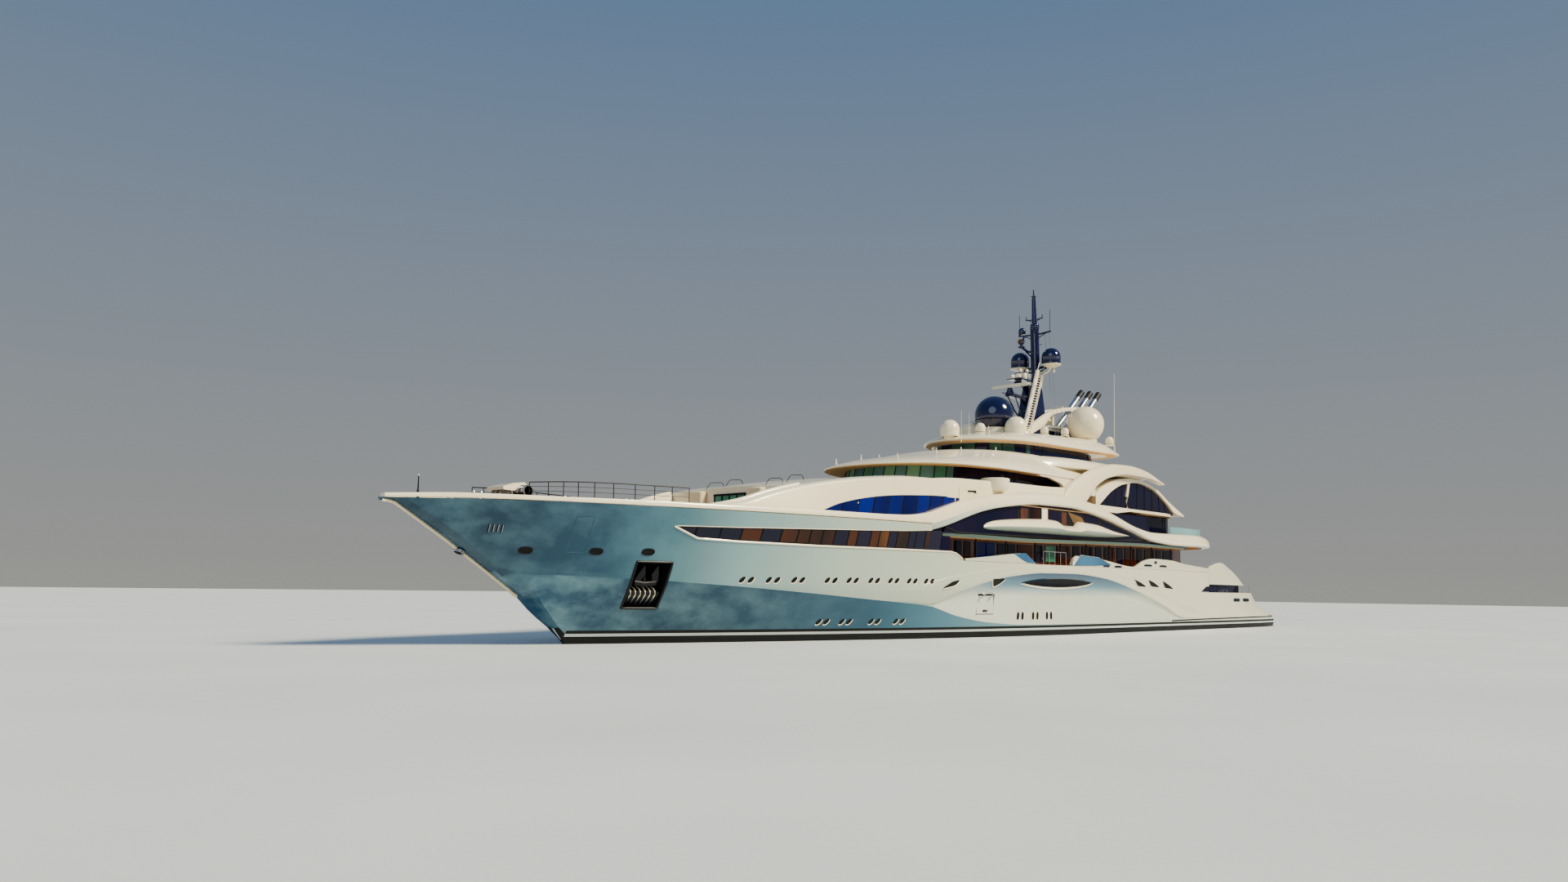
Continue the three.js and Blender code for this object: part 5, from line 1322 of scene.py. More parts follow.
WINDOW_FOOT = 12.96
bridge_tail = straight([
    (-22, 1), (-23.5, 0.98), (-25, 0.92), (-26.5, 0.8), (-27.6, 0.64), (-28.5, 0.4), (-29, 0.12),
])
under_bridge = straight([
    (16.3, 11.05), (11.5, 11.1), (9, 11.5), (6, 11.7), (-11, 11.7), (-14, 12.02), (-29, 12.02),
])
bridge_floor = Sheets("teak")
FLOOR_MARKS = [16.3, 11.5, 9, 6, -11, -14, -22, -23.5, -25, -26.5, -27.6, -28.5, -29]
deck_slab(bridge_floor, between(FLOOR_MARKS, 0.8), lambda x: (INNER_SIDE - GAP) * bridge_tail(x),
          under_bridge, lambda x: BRIDGE_DECK, "teak", "white", "soffit_painted_warm_light")
tower(bridge_floor, 4, [
    (BRIDGE_DECK - 0.1, 16, -6, 7.6, 3), (WINDOW_FOOT - 0.08, 16, -6, 7.6, 3),
    (WINDOW_FOOT - GAP, 15.93, -5.95, 7.53, 3),
], "white")
bridge_floor.build("bridge_deck_floor", slot="white_paint", replaces=("bridge_deck",))


# Glazed houses: panes around a plan outline, with upright posts between them
GLAZING_POINTS = 120
GLAZING_POST_R = 0.045


def glazed(sheets, power, low, high, pane_length, looks, post_r=GLAZING_POST_R):
    """Panes of glass between two plan outlines, then a post at each joint."""
    ring_low, ring_high = (plan_ring(power, *level, points=GLAZING_POINTS) for level in (low, high))
    lengths = [0.0]
    for (x0, y0, _), (x1, y1, _) in zip(ring_low, ring_low[1:] + ring_low[:1]):
        lengths.append(lengths[-1] + math.hypot(x1 - x0, y1 - y0))
    count = max(round(lengths[-1] / pane_length), 1)
    panes = [int(lengths[i] / lengths[-1] * count + 1e-6) for i in range(len(ring_low))]
    first = len(sheets.faces)
    sheets.loft([ring_low, ring_high])
    for i, pane in enumerate(panes):
        sheets.finishes[first + i] = looks(pane, ring_low[i][0])
    for i in range(1, len(panes)):
        if panes[i] != panes[i - 1]:
            sheets.rod([ring_low[i], ring_high[i]], post_r, "seam", 6)


def bridge_pane(pane, x):
    looks = ("green", "teal_glass") if x > 12.8 else ("glass", "plum_glass")
    return looks[pane % 2]


def top_pane(pane, x):
    looks = ("moss_glass", "glass", "moss_glass") if x > -1.5 else ("glass", "glass", "plum_glass")
    return looks[pane % 3]


bridge_glass = Sheets("green")
glazed(bridge_glass, 2.4, (WINDOW_FOOT, 16.2, -6, 7.5, 11), (14.55, 15.7, -6, 7.27, 11), 1.15, bridge_pane)
bridge_glass.build("bridge_glazing", slot="dark_glass", replaces=("bridge_house",), angle=30.0)
top_glass = Sheets("glass")
glazed(top_glass, 2.3, (SUN_DECK + GAP, 3.4, -15.5, 5.5, 8), (17.94, 3.2, -15.5, 5.3, 8), 1.3, top_pane)
top_glass.build("top_glazing", slot="dark_glass", replaces=("top_house",), angle=30.0)

# Lounge: panes between leaning posts, one broad white post
lounge_glass = Sheets("glass")
block(lounge_glass, between([-9.7, -26], 0.35), lambda x: LOUNGE_HALF - 0.25, lambda x: BRIDGE_DECK + GAP,
      lambda x: fan_top(x) - GAP, "glass")
LOUNGE_POSTS = [
    (-11.0, -11.3), (-12.6, -12.9), (-14.0, -14.2), (-17.4, -17.5), (-19.2, -19.2), (-21.0, -20.9),
    (-22.8, -22.5), (-24.4, -23.8),
]
for _, side in SIDES:
    face_y = side * (LOUNGE_HALF - 0.25)
    foot_z = BRIDGE_DECK + 0.02
    for foot, head in LOUNGE_POSTS:
        lounge_glass.rod([(foot, face_y, foot_z), (head, face_y, fan_top(head) - 0.02)], 0.05, "seam", 6)
    broad = [(-15.2, face_y, foot_z), (-15.0, face_y + side * 0.05, 13.6),
             (-15.5, face_y, fan_top(-15.5) - 0.02)]
    lounge_glass.rod(broad, 0.2, "white", 10)
lounge_glass.build("lounge_glazing", slot="dark_glass", replaces=("lounge",))

# Aft saloon behind the upper deck
saloon = Sheets("glass")
glazed(saloon, 4, (8.86, -17.6, -27, 8, 0.3), (12.01, -17.6, -27, 8, 0.3), 1.4,
       lambda pane, x: "glass", 0.05)
saloon.build("saloon_glazing", slot="dark_glass", replaces=("aft_saloon",), angle=30.0)

# Upper deck house: the lens of glass, with its dark lower edge and the open balcony; the dark rod along the
# foot and the dark sheet behind the balcony are painted shade
BALCONY_FORE = 8.1
BALCONY_AFT = -7.0
LENS_WINDOWS = [
    (7.6, 6.4, "joinery"), (6.0, 4.6, "bronze_glass"), (2.7, 0.9, "glass"), (0.6, -0.3, "joinery"),
    (-3.6, -6.4, "glass"),
]
SLATS = 7
lens_foot = straight([
    (19.4, 8.78), (18.5, 8.82), (17.3, 8.52), (15.2, 8.5), (-4, 8.74), (-15.9, 9.18), (-17.5, 9.25),
])


for name, side in SIDES:
    lens = Sheets("seam")
    place = placer(side, lambda x, z: HOUSE_SIDE)
    edge = [place(x, max(lens_foot(x), upper_top(x) + 0.06)) for x in between([18.9, 17.3, -17.3], 0.6)]
    lens.rod(edge, 0.09, "seam", 6)
    outline = [(x, min(band_low(x) - 0.25, 11.32)) for x in spread(BALCONY_FORE, BALCONY_AFT, 14)]
    outline += [(x, 9.35) for x in spread(BALCONY_AFT, BALCONY_FORE, 14)]
    # The dark sheet across the open balcony is painted shade, with windows and slats over it.
    lens.patch(outline, place, 0.015, rings=3)
    for fore, aft, look in LENS_WINDOWS:
        lens.patch(square(fore, aft, 9.5, 11.1), place, 0.03, look, rings=1)
    lens.patch(square(4.1, 3.1, 9.4, 11.28), place, 0.05, "white", rings=1)
    for step in range(SLATS):
        x = -0.7 - step * 0.36
        lens.rod([place(x, 11.15 - step * 0.05, 0.03), place(x - 1.6, 9.7, 0.03)], 0.035, "soffit_painted_warm_light", 5)
    lens.rod([place(BALCONY_FORE, 11.3, 0.03), place(BALCONY_AFT, 11.3, 0.03)], 0.05, "soffit_painted_warm_light", 6)
    lens.build(f"lens_{name}", slot="dark_glass")


# Blue windows of the forward house, in leaning panes
blue_high = smooth([
    (31.4, 9.58), (29.8, 10.14), (27.1, 10.68), (24.6, 10.98), (22.4, 11.14), (18.2, 11.32), (15.5, 11.33),
])
blue_low = straight([(31.4, 9.5), (28, 9.3), (20.4, 9.3), (17.3, 10.35), (15.5, 11.25)])
BLUE_MARKS = [31.4, 30.0, 28.4, 26.8, 25.2, 23.6, 22.0, 20.4, 18.8, 17.2, 15.5]
BLUE_LEAN = 0.22


def blue_edge(mark, edge):
    """The place on an edge of the window where the leaning post at a mark meets it."""
    x = mark
    for _ in range(6):
        x = clamp(mark - (edge(x) - 9.4) * BLUE_LEAN, 15.5, 31.4)
    return (x, edge(x))


for name, side in SIDES:
    blue = Sheets("blue")
    place = placer(side, lambda x, z: max(house_half(x), 9.22 if x < 16.8 else 0))
    whole = [(x, blue_high(x)) for x in between([31.4, 15.5], 0.5)]
    whole += [(x, blue_low(x)) for x in between([15.5, 31.4], 0.5)]
    blue.patch(grown(whole, 1.01, 1.05), place, 0.02, "seam", rings=3)
    for pane, (fore, aft) in enumerate(zip(BLUE_MARKS, BLUE_MARKS[1:])):
        marks = (fore - 0.07, (fore + aft) / 2, aft + 0.07)
        low = [blue_edge(mark, blue_low) for mark in marks]
        high = [blue_edge(mark, blue_high) for mark in marks]
        corners = [low[0], *high, low[2], low[1]]
        blue.patch(corners, place, 0.05, ("blue", "blue_deep")[pane % 2], rings=2)
    blue.build(f"blue_window_{name}", slot="blue_glass", replaces=(f"forward_window_{name}",))


# Bridge deck bulwarks with the wing stations let into them
bulwark_high = smooth([
    (20.5, 12.62), (18.5, 12.84), (16.3, 12.98), (12, 13.1), (8, 13.24), (4, 13.3), (0, 13.44), (-1, 13.5),
])
bulwark_outer = smooth([
    (20.5, 8.98), (18.5, 9.1), (16.3, 9.24), (14, INNER_SIDE + 0.02), (-1, INNER_SIDE + 0.02),
])
bulwark_low = straight([(20.5, 11), (4.4, 11.2), (3, BRIDGE_DECK + GAP), (-1, BRIDGE_DECK + GAP)])
WING_X = 10.5
WING_PROFILE = [
    (0.85, 0), (1.02, 0.12), (1.13, 0.4), (1.2, 0.75), (1.24, 0.98), (1.24, 1.05), (1.18, 1.1),
    (1.1, 1.08), (1.02, 0.95),
]
for name, side in SIDES:
    bulwark = Sheets("white")
    ribbon(bulwark, between([20.5, 16.3, 4.4, 3, -0.7], 0.4), bulwark_low,
           bulwark_high, bulwark_outer, 0.4, side=side)
    bulwark.lathe(WING_X, side * 8.95, BRIDGE_DECK + GAP, WING_PROFILE, "white", 48)
    bulwark.box(WING_X, side * 9.6, BRIDGE_DECK + 1.1, 0.22, 0.22, 0.3, "dark")
    bulwark.rod([(15.1, side * 9.3, 12.0), (14.0, side * 9.3, 12.05)], 0.07, "dark", 8)
    bulwark.rod([(14.2, side * 9.3, 12.05), (14.1, side * 9.45, 11.9)], 0.06, "dark", 8)
    bulwark.skin(f"bridge_bulwark_{name}", "white_paint", 45.0)


# Entrance between the cowl's wings
entrance = Sheets("green")
DOOR_WALL = RECESS_AFT + 0.05
DOOR_HEAD = 10.95
DOOR_HEIGHT = DOOR_HEAD - RECESS_FLOOR
LOCKER_HEIGHT = 11.25 - RECESS_FLOOR
for y in (-1.2, -0.4, 0.4, 1.2):
    entrance.box(DOOR_WALL, y, RECESS_FLOOR, 0.05, 0.72, DOOR_HEIGHT - 0.1)
for y in (-1.62, -0.8, 0.0, 0.8, 1.62):
    entrance.box(DOOR_WALL + 0.02, y, RECESS_FLOOR, 0.12, 0.1, DOOR_HEIGHT, "seam")
entrance.box(DOOR_WALL + 0.02, 0, DOOR_HEAD - 0.12, 0.16, 3.4, 0.14, "seam")
for _, side in SIDES:
    entrance.box(RECESS_AFT + 0.35, side * 3.2, RECESS_FLOOR, 0.7, 1.3, LOCKER_HEIGHT, "cream")
    for x, y in ((32.8, 3.2), (30.6, 3.3)):
        top_z = house_crown(x) + 0.5
        foot_z = house_crown(x) - 0.2
        bend = ((0, foot_z), (0.45, top_z - 0.12), (0.65, top_z), (1.7, top_z + 0.1), (1.9, top_z + 0.02),
                (2.1, foot_z + 0.3))
        entrance.rod([(x - aft, side * y, z) for aft, z in bend], 0.025, "seam")
    lip = [(x, side * (house_half(x) - 0.75), mix(house_shoulder(x), house_crown(x), 0.5) - 0.02)
           for x in between([41.6, RECESS_AFT], 0.5)]
    entrance.rod(lip, 0.2, "white", 12)
entrance.build("entrance", slot="white_paint")


# Domes on the top roof
def dome_profile(r, low, rise):
    """A dome's profile: a ball from an angle below its middle, or from a short drum where that is 0."""
    profile = []
    if low == 0:
        profile = [(r * 0.94, 0), (r, r * 0.08), (r, r * 0.7), (r * 1.012, r * 0.72), (r * 1.012, r * 0.76)]
    for degrees in spread(low, 88, 16):
        angle = math.radians(degrees)
        profile.append((r * math.cos(angle), r * (rise + math.sin(angle))))
    return profile


ROOF_FOOT = TOP_ROOF + GAP
WHITE_DOMES = [  # x, y, z, radius, lowest angle, rise
    (4.3, 0, 18.4, 0.93, 0, 0.75), (-3.1, 2.65, 19.1, 1.08, 0, 0.75), (-3.1, -2.65, 19.1, 1.08, 0, 0.75),
    (-16.6, 2.9, 19.88, 1.95, -68, 0.93), (-16.6, -2.9, 19.88, 1.95, -68, 0.93),
]
SMALL_DOMES = [(1.4, 1.5, 0.5), (-5.2, 4.6, 0.39), (-9, 4.7, 0.39), (-18.5, 4.7, 0.43)]
domes = Sheets("white")
for x, y, z, r, low, rise in WHITE_DOMES:
    domes.lathe(x, y, z, dome_profile(r, low, rise), "white", 48)
    foot = roof_crown(x) - 0.25
    stem = [(r * 0.62, 0), (r * 0.62, z + 0.12 - foot), (r * 0.4, z + 0.14 - foot)]
    domes.lathe(x, y, foot, stem)
for x, y, r in [(x, side * y, r) for x, y, r in SMALL_DOMES for _, side in SIDES]:
    foot = roof_crown(x) - 0.12
    domes.lathe(x, y, foot, [(r * 1.15, 0), (r * 1.15, 0.1), (r * 0.7, 0.16), (r * 0.7, 0.24)], "white", 24)
    domes.lathe(x, y, foot + 0.22, dome_profile(r, 0, 0.75), "white", 28)
for _, side in SIDES:
    domes.box(-9.9, side * 2.75, ROOF_FOOT - 0.1, 15.6, 0.9, 0.16, "white", 0.3)
domes.build("white_domes", slot="white_paint", replaces=("dome_set",), angle=30.0)

NAVY_DOME = (-3.4, 20.15, 1.94)
navy_dome = Sheets("navy")
dome_x, dome_foot, dome_r = NAVY_DOME
ball = dome_profile(dome_r, -38, 0.62)
belt = [(dome_r * share, up) for share, up in ((0.955, 0), (0.98, 0.02), (0.985, 0.1), (0.96, 0.12))]
drum = [(1.55, 0), (1.55, 0.75), (1.48, 0.85), (1.4, 1.2), (1.3, 1.25)]
navy_dome.lathe(dome_x, 0, dome_foot + GAP, [(1.3, 0)] + ball, "navy", 64)
navy_dome.lathe(dome_x, 0, dome_foot + dome_r * 0.33, belt, "seam", 64)
navy_dome.lathe(dome_x, 0, ROOF_FOOT - 0.1, drum, "white", 48)
navy_dome.build("navy_dome", slot="navy_paint", replaces=("dome_navy",), angle=30.0)


# Mast: trunk with its bracket, equipment platforms and conduits
RADAR_X = -6.3
MAST_SENSORS = [  # x, y, z, radius, height
    (-7.4, 0.3, 25.65, 0.3, 0.45), (-7.5, -0.45, 25.65, 0.22, 0.5), (-8.3, 0.5, 25.65, 0.24, 0.7),
    (-8.8, -0.3, 26.45, 0.2, 0.5), (-9.0, 0.35, 26.45, 0.16, 0.4),
]
TRUNK_TOP = 25.2
mast = Sheets("navy")


def trunk_ring(z, length, width):
    centre = mix(-9.9, -10.5, (z - ROOF_FOOT) / (TRUNK_TOP - ROOF_FOOT))
    a = length / 2
    outline = [
        (-a, width * 0.9), (-a * 0.94, width), (-a * 0.4, width * 0.9), (a * 0.6, width * 0.72),
        (a * 0.94, width * 0.6), (a, width * 0.5),
    ]
    return [(centre + u, v, z) for u, v in outline] + [(centre + u, -v, z) for u, v in reversed(outline)]


mast.loft([trunk_ring(ROOF_FOOT - 0.1, 3.8, 1.25), trunk_ring(22, 3.1, 1), trunk_ring(25.15, 2.1, 0.66),
           trunk_ring(TRUNK_TOP, 2.0, 0.6)])
mast.loft([
    [(x, 0.3, low), (x, 0.3, high), (x, -0.3, high), (x, -0.3, low)]
    for x, low, high in ((-5.9, 23.62, 23.88), (-8, 23.58, 23.9), (-9.9, 23.3, 23.92))
])
for y in (0.32, -0.32):
    mast.rod([(-5.4, y, 23.95), (-9.4, y, 23.95)], 0.05, sides=6)
pedestal = [(0.42, 0), (0.42, 0.3), (0.34, 0.36), (0.34, 0.52), (0.26, 0.56), (0.26, 0.72)]
mast.lathe(RADAR_X, 0, 23.8, pedestal, sides=24)
mast.rod([(-5.9, 0, 23.62), (-7.2, 0, 22.3), (-8.3, 0, 21.6)], 0.09)
mast.rod([(-7.0, 0.25, 23.6), (-7.9, 0.25, 22.2), (-8.2, 0.25, 20.4)], 0.06)
for z, fore, wide in ((25.55, -7.0, 0.85), (26.35, -8.2, 0.6)):
    mast.box((fore - 11.0) / 2, 0, z, 11.0 + fore, wide * 2, 0.1, bevel=0.3)
for x, y, z, r, h in MAST_SENSORS:
    profile = [(r * 0.8, 0), (r, h * 0.2), (r, h * 0.7), (r * 0.6, h * 0.95), (r * 0.1, h)]
    mast.lathe(x, y, z, profile, "white", 20)
mast.box(-8.0, -0.1, 25.1, 0.5, 0.7, 0.42, bevel=0.2)
for y in (-0.5, 0.5):
    mast.rod([(-8.9, y, 25.55), (-9.7, y * 0.6, 24.7)], 0.06)
for y in (-0.5, -0.25, 0.5):
    mast.rod([(-12.05, y, ROOF_FOOT), (-11.75, y, 22), (-11.45, y, 25.1)], 0.045, "steel", 6)
mast.skin("mast_trunk", "navy_paint", 35.0)

# Radar bar, turning on its pedestal
bar = Sheets("white")
BAR_ROWS = [(-2.15, 0.07, 0.16), (-2.1, 0.13, 0.24), (-1.9, 0.17, 0.29), (-0.4, 0.175, 0.3)]
BAR_ROWS += [(-y, depth, height) for y, depth, height in reversed(BAR_ROWS)]
BAR_SECTION = ((1, 0.5), (0.7, 1), (-0.5, 1), (-1, 0.6), (-1, -0.6), (-0.5, -1), (0.7, -1), (1, -0.5))
bar.loft([
    [(RADAR_X + depth * u, y, 24.75 + height / 2 * v) for u, v in BAR_SECTION] for y, depth,
    height in BAR_ROWS
])
bar.build("radar_bar", body="radar_scanner", slot="white_paint", replaces=("radar_scanner",))

# Pole with its arms, domes, steps and lights
pole = Sheets("navy")
POLE_FOOT = 25.24
POLE_HEAD = 35.6


def pole_x(z):
    return mix(-11.4, -10.9, (z - POLE_FOOT) / (POLE_HEAD - POLE_FOOT))


def on_pole(z):
    return (pole_x(z), 0, z)


POLE_RODS = [  # heights, radius, sides, end radius
    ((25.2, 26, 31.6, 31.95), 0.5, 24, 0.42), ((31.9, 34.7), 0.27, 20, 0.2),
    ((34.7, POLE_HEAD), 0.1, 12, 0.05),
]
for heights, r, sides, end_r in POLE_RODS:
    pole.rod([on_pole(z) for z in heights], r, "navy", sides, end_r)
pole.lathe(pole_x(34.8), 0, 34.75, [(0.2, 0), (0.34, 0.03), (0.34, 0.1), (0.12, 0.14)], sides=20)
for z, r in ((26.4, 0.52), (28.2, 0.52), (30.2, 0.52), (33.4, 0.28)):
    pole.lathe(pole_x(z), 0, z, [(0.3, 0), (r, 0.01), (r, 0.09), (0.3, 0.1)], sides=24)
for step in range(22):
    z = 27.4 + step * 0.33
    reach = 0.45 if z < 31.9 else 0.24
    pole.rod([(pole_x(z) - reach + 0.05, 0, z), (pole_x(z) - reach - 0.22, 0, z)], 0.03, "steel", 6)
for z, reach, r in ((27.45, 2.3, 0.15), (30.95, 1.9, 0.1), (32.5, 1.0, 0.07)):
    x = pole_x(z)
    pole.rod([(x, -reach, z), (x, -reach * 0.4, z - r), (x, reach * 0.4, z - r), (x, reach, z)], r,
             sides=10)
    for _, side in SIDES:
        pole.rod([(x, side * reach * 0.75, z - r * 0.5), (x, side * 0.25, z - reach * 0.3)], r * 0.5)
saucer = [(0.35, -0.3), (0.75, -0.12), (1.02, -0.04), (1.02, 0.03), (0.5, 0.06)]
for _, side in SIDES:
    x = pole_x(27.1)
    y = side * 1.85
    pole.lathe(x, y, 27.45, saucer, "white")
    pole.lathe(x, y, 27.5, dome_profile(0.98, 0, 0.75), sides=40)
    pole.rod([(x, y, 27.3), (x, side * 1.5, 26.8), (x, side * 0.3, 26.4)], 0.12, "white", 10)
    pole.rod([(x - 0.5, y, 27.1), (x - 0.5, y, 26.75)], 0.14, "white", 10)
    pole.rod([(pole_x(32.5), side * 0.95, 32.5), (pole_x(32.5), side * 0.95, 32.85)], 0.05)
    pole.rod([(pole_x(30.95), side * 1.8, 31), (pole_x(30.95), side * 1.8, 33.2)], 0.03, sides=6)
x = pole_x(31)
small_dome = dome_profile(0.38, 0, 0.95)
pole.lathe(x, -1.5, 31.05, small_dome, sides=28)
pole.rod([(x, 0, 31), (x + 1, 0.7, 31.05)], 0.09)
pole.lathe(x + 1, 0.7, 31.15, small_dome, sides=28)
pole.rod([(-11.0, 0, 28.9), (-9.6, 0, 28.85), (-8.5, 0, 29.1)], 0.12, sides=10)
pole.rod([(-11.0, 0, 28.2), (-9.4, 0, 28.8)], 0.07)
lamp_mount = [(0.34, 0), (0.34, 0.08), (0.16, 0.12), (0.16, 0.36), (0.3, 0.38), (0.3, 0.44)]
pole.lathe(-8.5, 0, 29.05, lamp_mount, sides=20)
pole.rod([(-8.25, 0, 29.62), (-8.75, 0, 29.72)], 0.28, "navy", 16, 0.24)
pole.rod([(-8.22, 0, 29.61), (-8.25, 0, 29.62)], 0.24, "amber_glass", 16)
pole.rod([(-8.7, 0.1, 29.95), (-8.9, 0.1, 30.35)], 0.1)
pole.rod([(-11.35, 0, 29.6), (-12.6, 0, 30.1)], 0.05, sides=6)
pole.skin("mast_pole", "navy_paint", 35.0)

# Ladder to the mast: two deep strings, treads and a handrail
LADDER_FOOT = (-5.8, 1.75, ROOF_FOOT)
LADDER_HEAD = (-10.3, 0.95, 26.8)
ladder = Sheets("white")


def ladder_at(t, forward=0.0, out=0.0, up=0.0):
    return tuple(mix(a, b, t) + shift for a, b, shift in zip(LADDER_FOOT, LADDER_HEAD, (forward, out, up)))


for forward, wide in ((0.55, 0.46), (-0.72, 0.16)):
    ladder.loft([[
        ladder_at(t, forward), ladder_at(t, forward, 0.1), ladder_at(t, forward - 0.04, 0.25),
        ladder_at(t, forward - wide + 0.04, 0.25), ladder_at(t, forward - wide, 0.2),
        ladder_at(t, forward - wide),
    ] for t in spread(0, 1, 6)])
for t in spread(0.03, 0.97, 26):
    x, y, z = ladder_at(t)
    ladder.box(x - 0.32, y + 0.12, z, 0.92, 0.22, 0.05, "white", 0.2)
for forward in (0.3, -0.8):
    ladder.rod([ladder_at(t, forward, 0.3, 0.9) for t in spread(0.02, 0.98, 8)], 0.03, "steel", 6)
    for t in spread(0.02, 0.98, 7):
        ladder.rod([ladder_at(t, forward, 0.22), ladder_at(t, forward, 0.3, 0.9)], 0.025, "steel", 6)
ladder.skin("mast_ladder", "white_paint")

# Exhaust: curved arms, the casing between them and the three stacks
arm = Sheets("white")
ARM = [
    (-6.4, 19.3, 19.75, 1.35, 1.8), (-7.2, 19.6, 20.5, 1.36, 1.85), (-8.0, 20, 21, 1.38, 1.85),
    (-8.8, 20.35, 21.42, 1.36, 1.85), (-9.8, 20.75, 21.9, 1.3, 1.78), (-10.7, 21.2, 22.27, 1.2, 1.65),
    (-12, 22.05, 22.76, 0.95, 1.4), (-13.2, 22.58, 23.08, 0.75, 1.2), (-14.7, 22.95, 23.4, 0.55, 1.0),
    (-16.5, 23.3, 23.75, 0.45, 0.85), (-18.2, 23.55, 24.0, 0.42, 0.8), (-20, 23.72, 24.2, 0.42, 0.75),
    (-22, 23.85, 24.25, 0.42, 0.72), (-23.2, 23.98, 24.2, 0.42, 0.6),
]
ARM_SECTION = [
    (0, 0.1), (0.15, 0), (0.85, 0), (1, 0.15), (1, 0.7), (0.82, 0.95), (0.6, 1), (0.2, 1), (0, 0.9),
]
arm_low, arm_high, arm_inner, arm_outer = curves(ARM)
for _, side in SIDES:
    rings = []
    for x in between([-6.4, -23.2], 0.4):
        low, high, inner, outer = arm_low(x), arm_high(x), arm_inner(x), arm_outer(x)
        rings.append([(x, side * mix(inner, outer, a), mix(low, high, b)) for a, b in ARM_SECTION])
    arm.loft(rings)
    for y, z in ((1.5, 21.0), (1.15, 20.75)):
        pipe = [(-10.6, side * y, z), (-12.4, side * y, z + 0.1), (-14.4, side * y, z + 0.12)]
        arm.rod(pipe, 0.17, "chrome", 12)
arm.loft([
    [(fore, 0.75, z), (fore, -0.75, z), (aft, -0.75, z), (aft, 0.75, z)]
    for z, fore, aft in ((ROOF_FOOT, -13.6, -17.6), (21.15, -13.9, -20.05), (21.2, -14, -20))
], "navy")
arm.box(-12.4, 0, 21.78, 0.5, 2.2, 0.26, "white", 0.3)
arm.box(-14.1, 0, 21.1, 0.4, 1.1, 1.7, "white", 0.2)
for x in (-16, -18.5, -21):
    arm.rod([(x, -0.6, 23.7), (x, 0.6, 23.7)], 0.1)
arm.skin("exhaust_arm", "white_paint", 35.0)

stacks = Sheets("steel")
STACK_FOOT = (-15.5, 21.5)
STACK_HEAD = (-21.2, 26.1)
STACK_STEP = 1.95
for i in range(3):
    foot = Vector((STACK_FOOT[0] - STACK_STEP * i, 0, STACK_FOOT[1] - 0.15))
    head = Vector((STACK_HEAD[0] - STACK_STEP * i, 0, STACK_HEAD[1] + 0.15 * i))
    collar = foot.lerp(head, 0.82)
    stacks.rod([foot, collar], 0.31, sides=24)
    stacks.rod([foot.lerp(head, 0.8), collar], 0.36, sides=24)
    stacks.rod([collar, head], 0.34, "soot", 24)
    # A navy rod along each stack's forward underside is painted shade.
    shade = Vector((0.2, 0, -0.12))
    stacks.rod([foot.lerp(head, 0.1) + shade, foot.lerp(head, 0.8) + shade], 0.2, "navy", 12)
    stacks.rod([foot.lerp(head, 0.45) - shade * 0.3, foot.lerp(head, 0.47) - shade * 0.3], 0.36, sides=24)
stacks.box(-17.5, 0, 21.2, 4.9, 0.8, 0.32, "steel", 0.3)
stacks.build("exhaust_pipes", slot="steel", replaces=("exhaust_stacks",), angle=35.0)

# Whips, stays and small fittings of the roofs
fittings = Sheets("white")
WHIPS = [  # x, y, height, radius
    (4.6, 1.5, 2.4, 0.02), (3.6, 1.7, 2, 0.02), (-20.2, 4.4, 8, 0.035), (-20.2, -4.4, 8, 0.035),
    (2.6, 3.2, 0.5, 0.05),
]
STAY_HEAD = 30.9
ROOF_LAMPS = [(16.87, 3.4, 14.98), (12.4, 4.2, 15.82), (9.2, 4.6, 16.18), (4.5, 5.2, 16.6)]
LAMP = [(0.09, 0), (0.09, 0.2), (0.05, 0.24), (0.05, 0.5), (0.02, 0.52)]
for x, y, height, r in WHIPS:
    foot = roof_crown(x) - 0.5
    fittings.rod([(x, y, foot), (x, y, foot + 0.7)], r * 2.2)
    fittings.rod([(x, y, foot + 0.6), (x, y, foot + 0.6 + height)], r, sides=6, end_r=r * 0.5)
for y, reach in ((1.7, -12.6), (-1.7, -12.6), (1.2, -13.1), (-1.2, -13.1)):
    fittings.rod([(pole_x(STAY_HEAD), y, STAY_HEAD), (reach, y * 1.2, 19.4)], 0.02, "steel", 5)
for x, y, z in ROOF_LAMPS:
    for _, side in SIDES:
        fittings.lathe(x, side * y, z - 0.12, LAMP, sides=12)
fittings.build("roof_fittings", slot="white_paint")


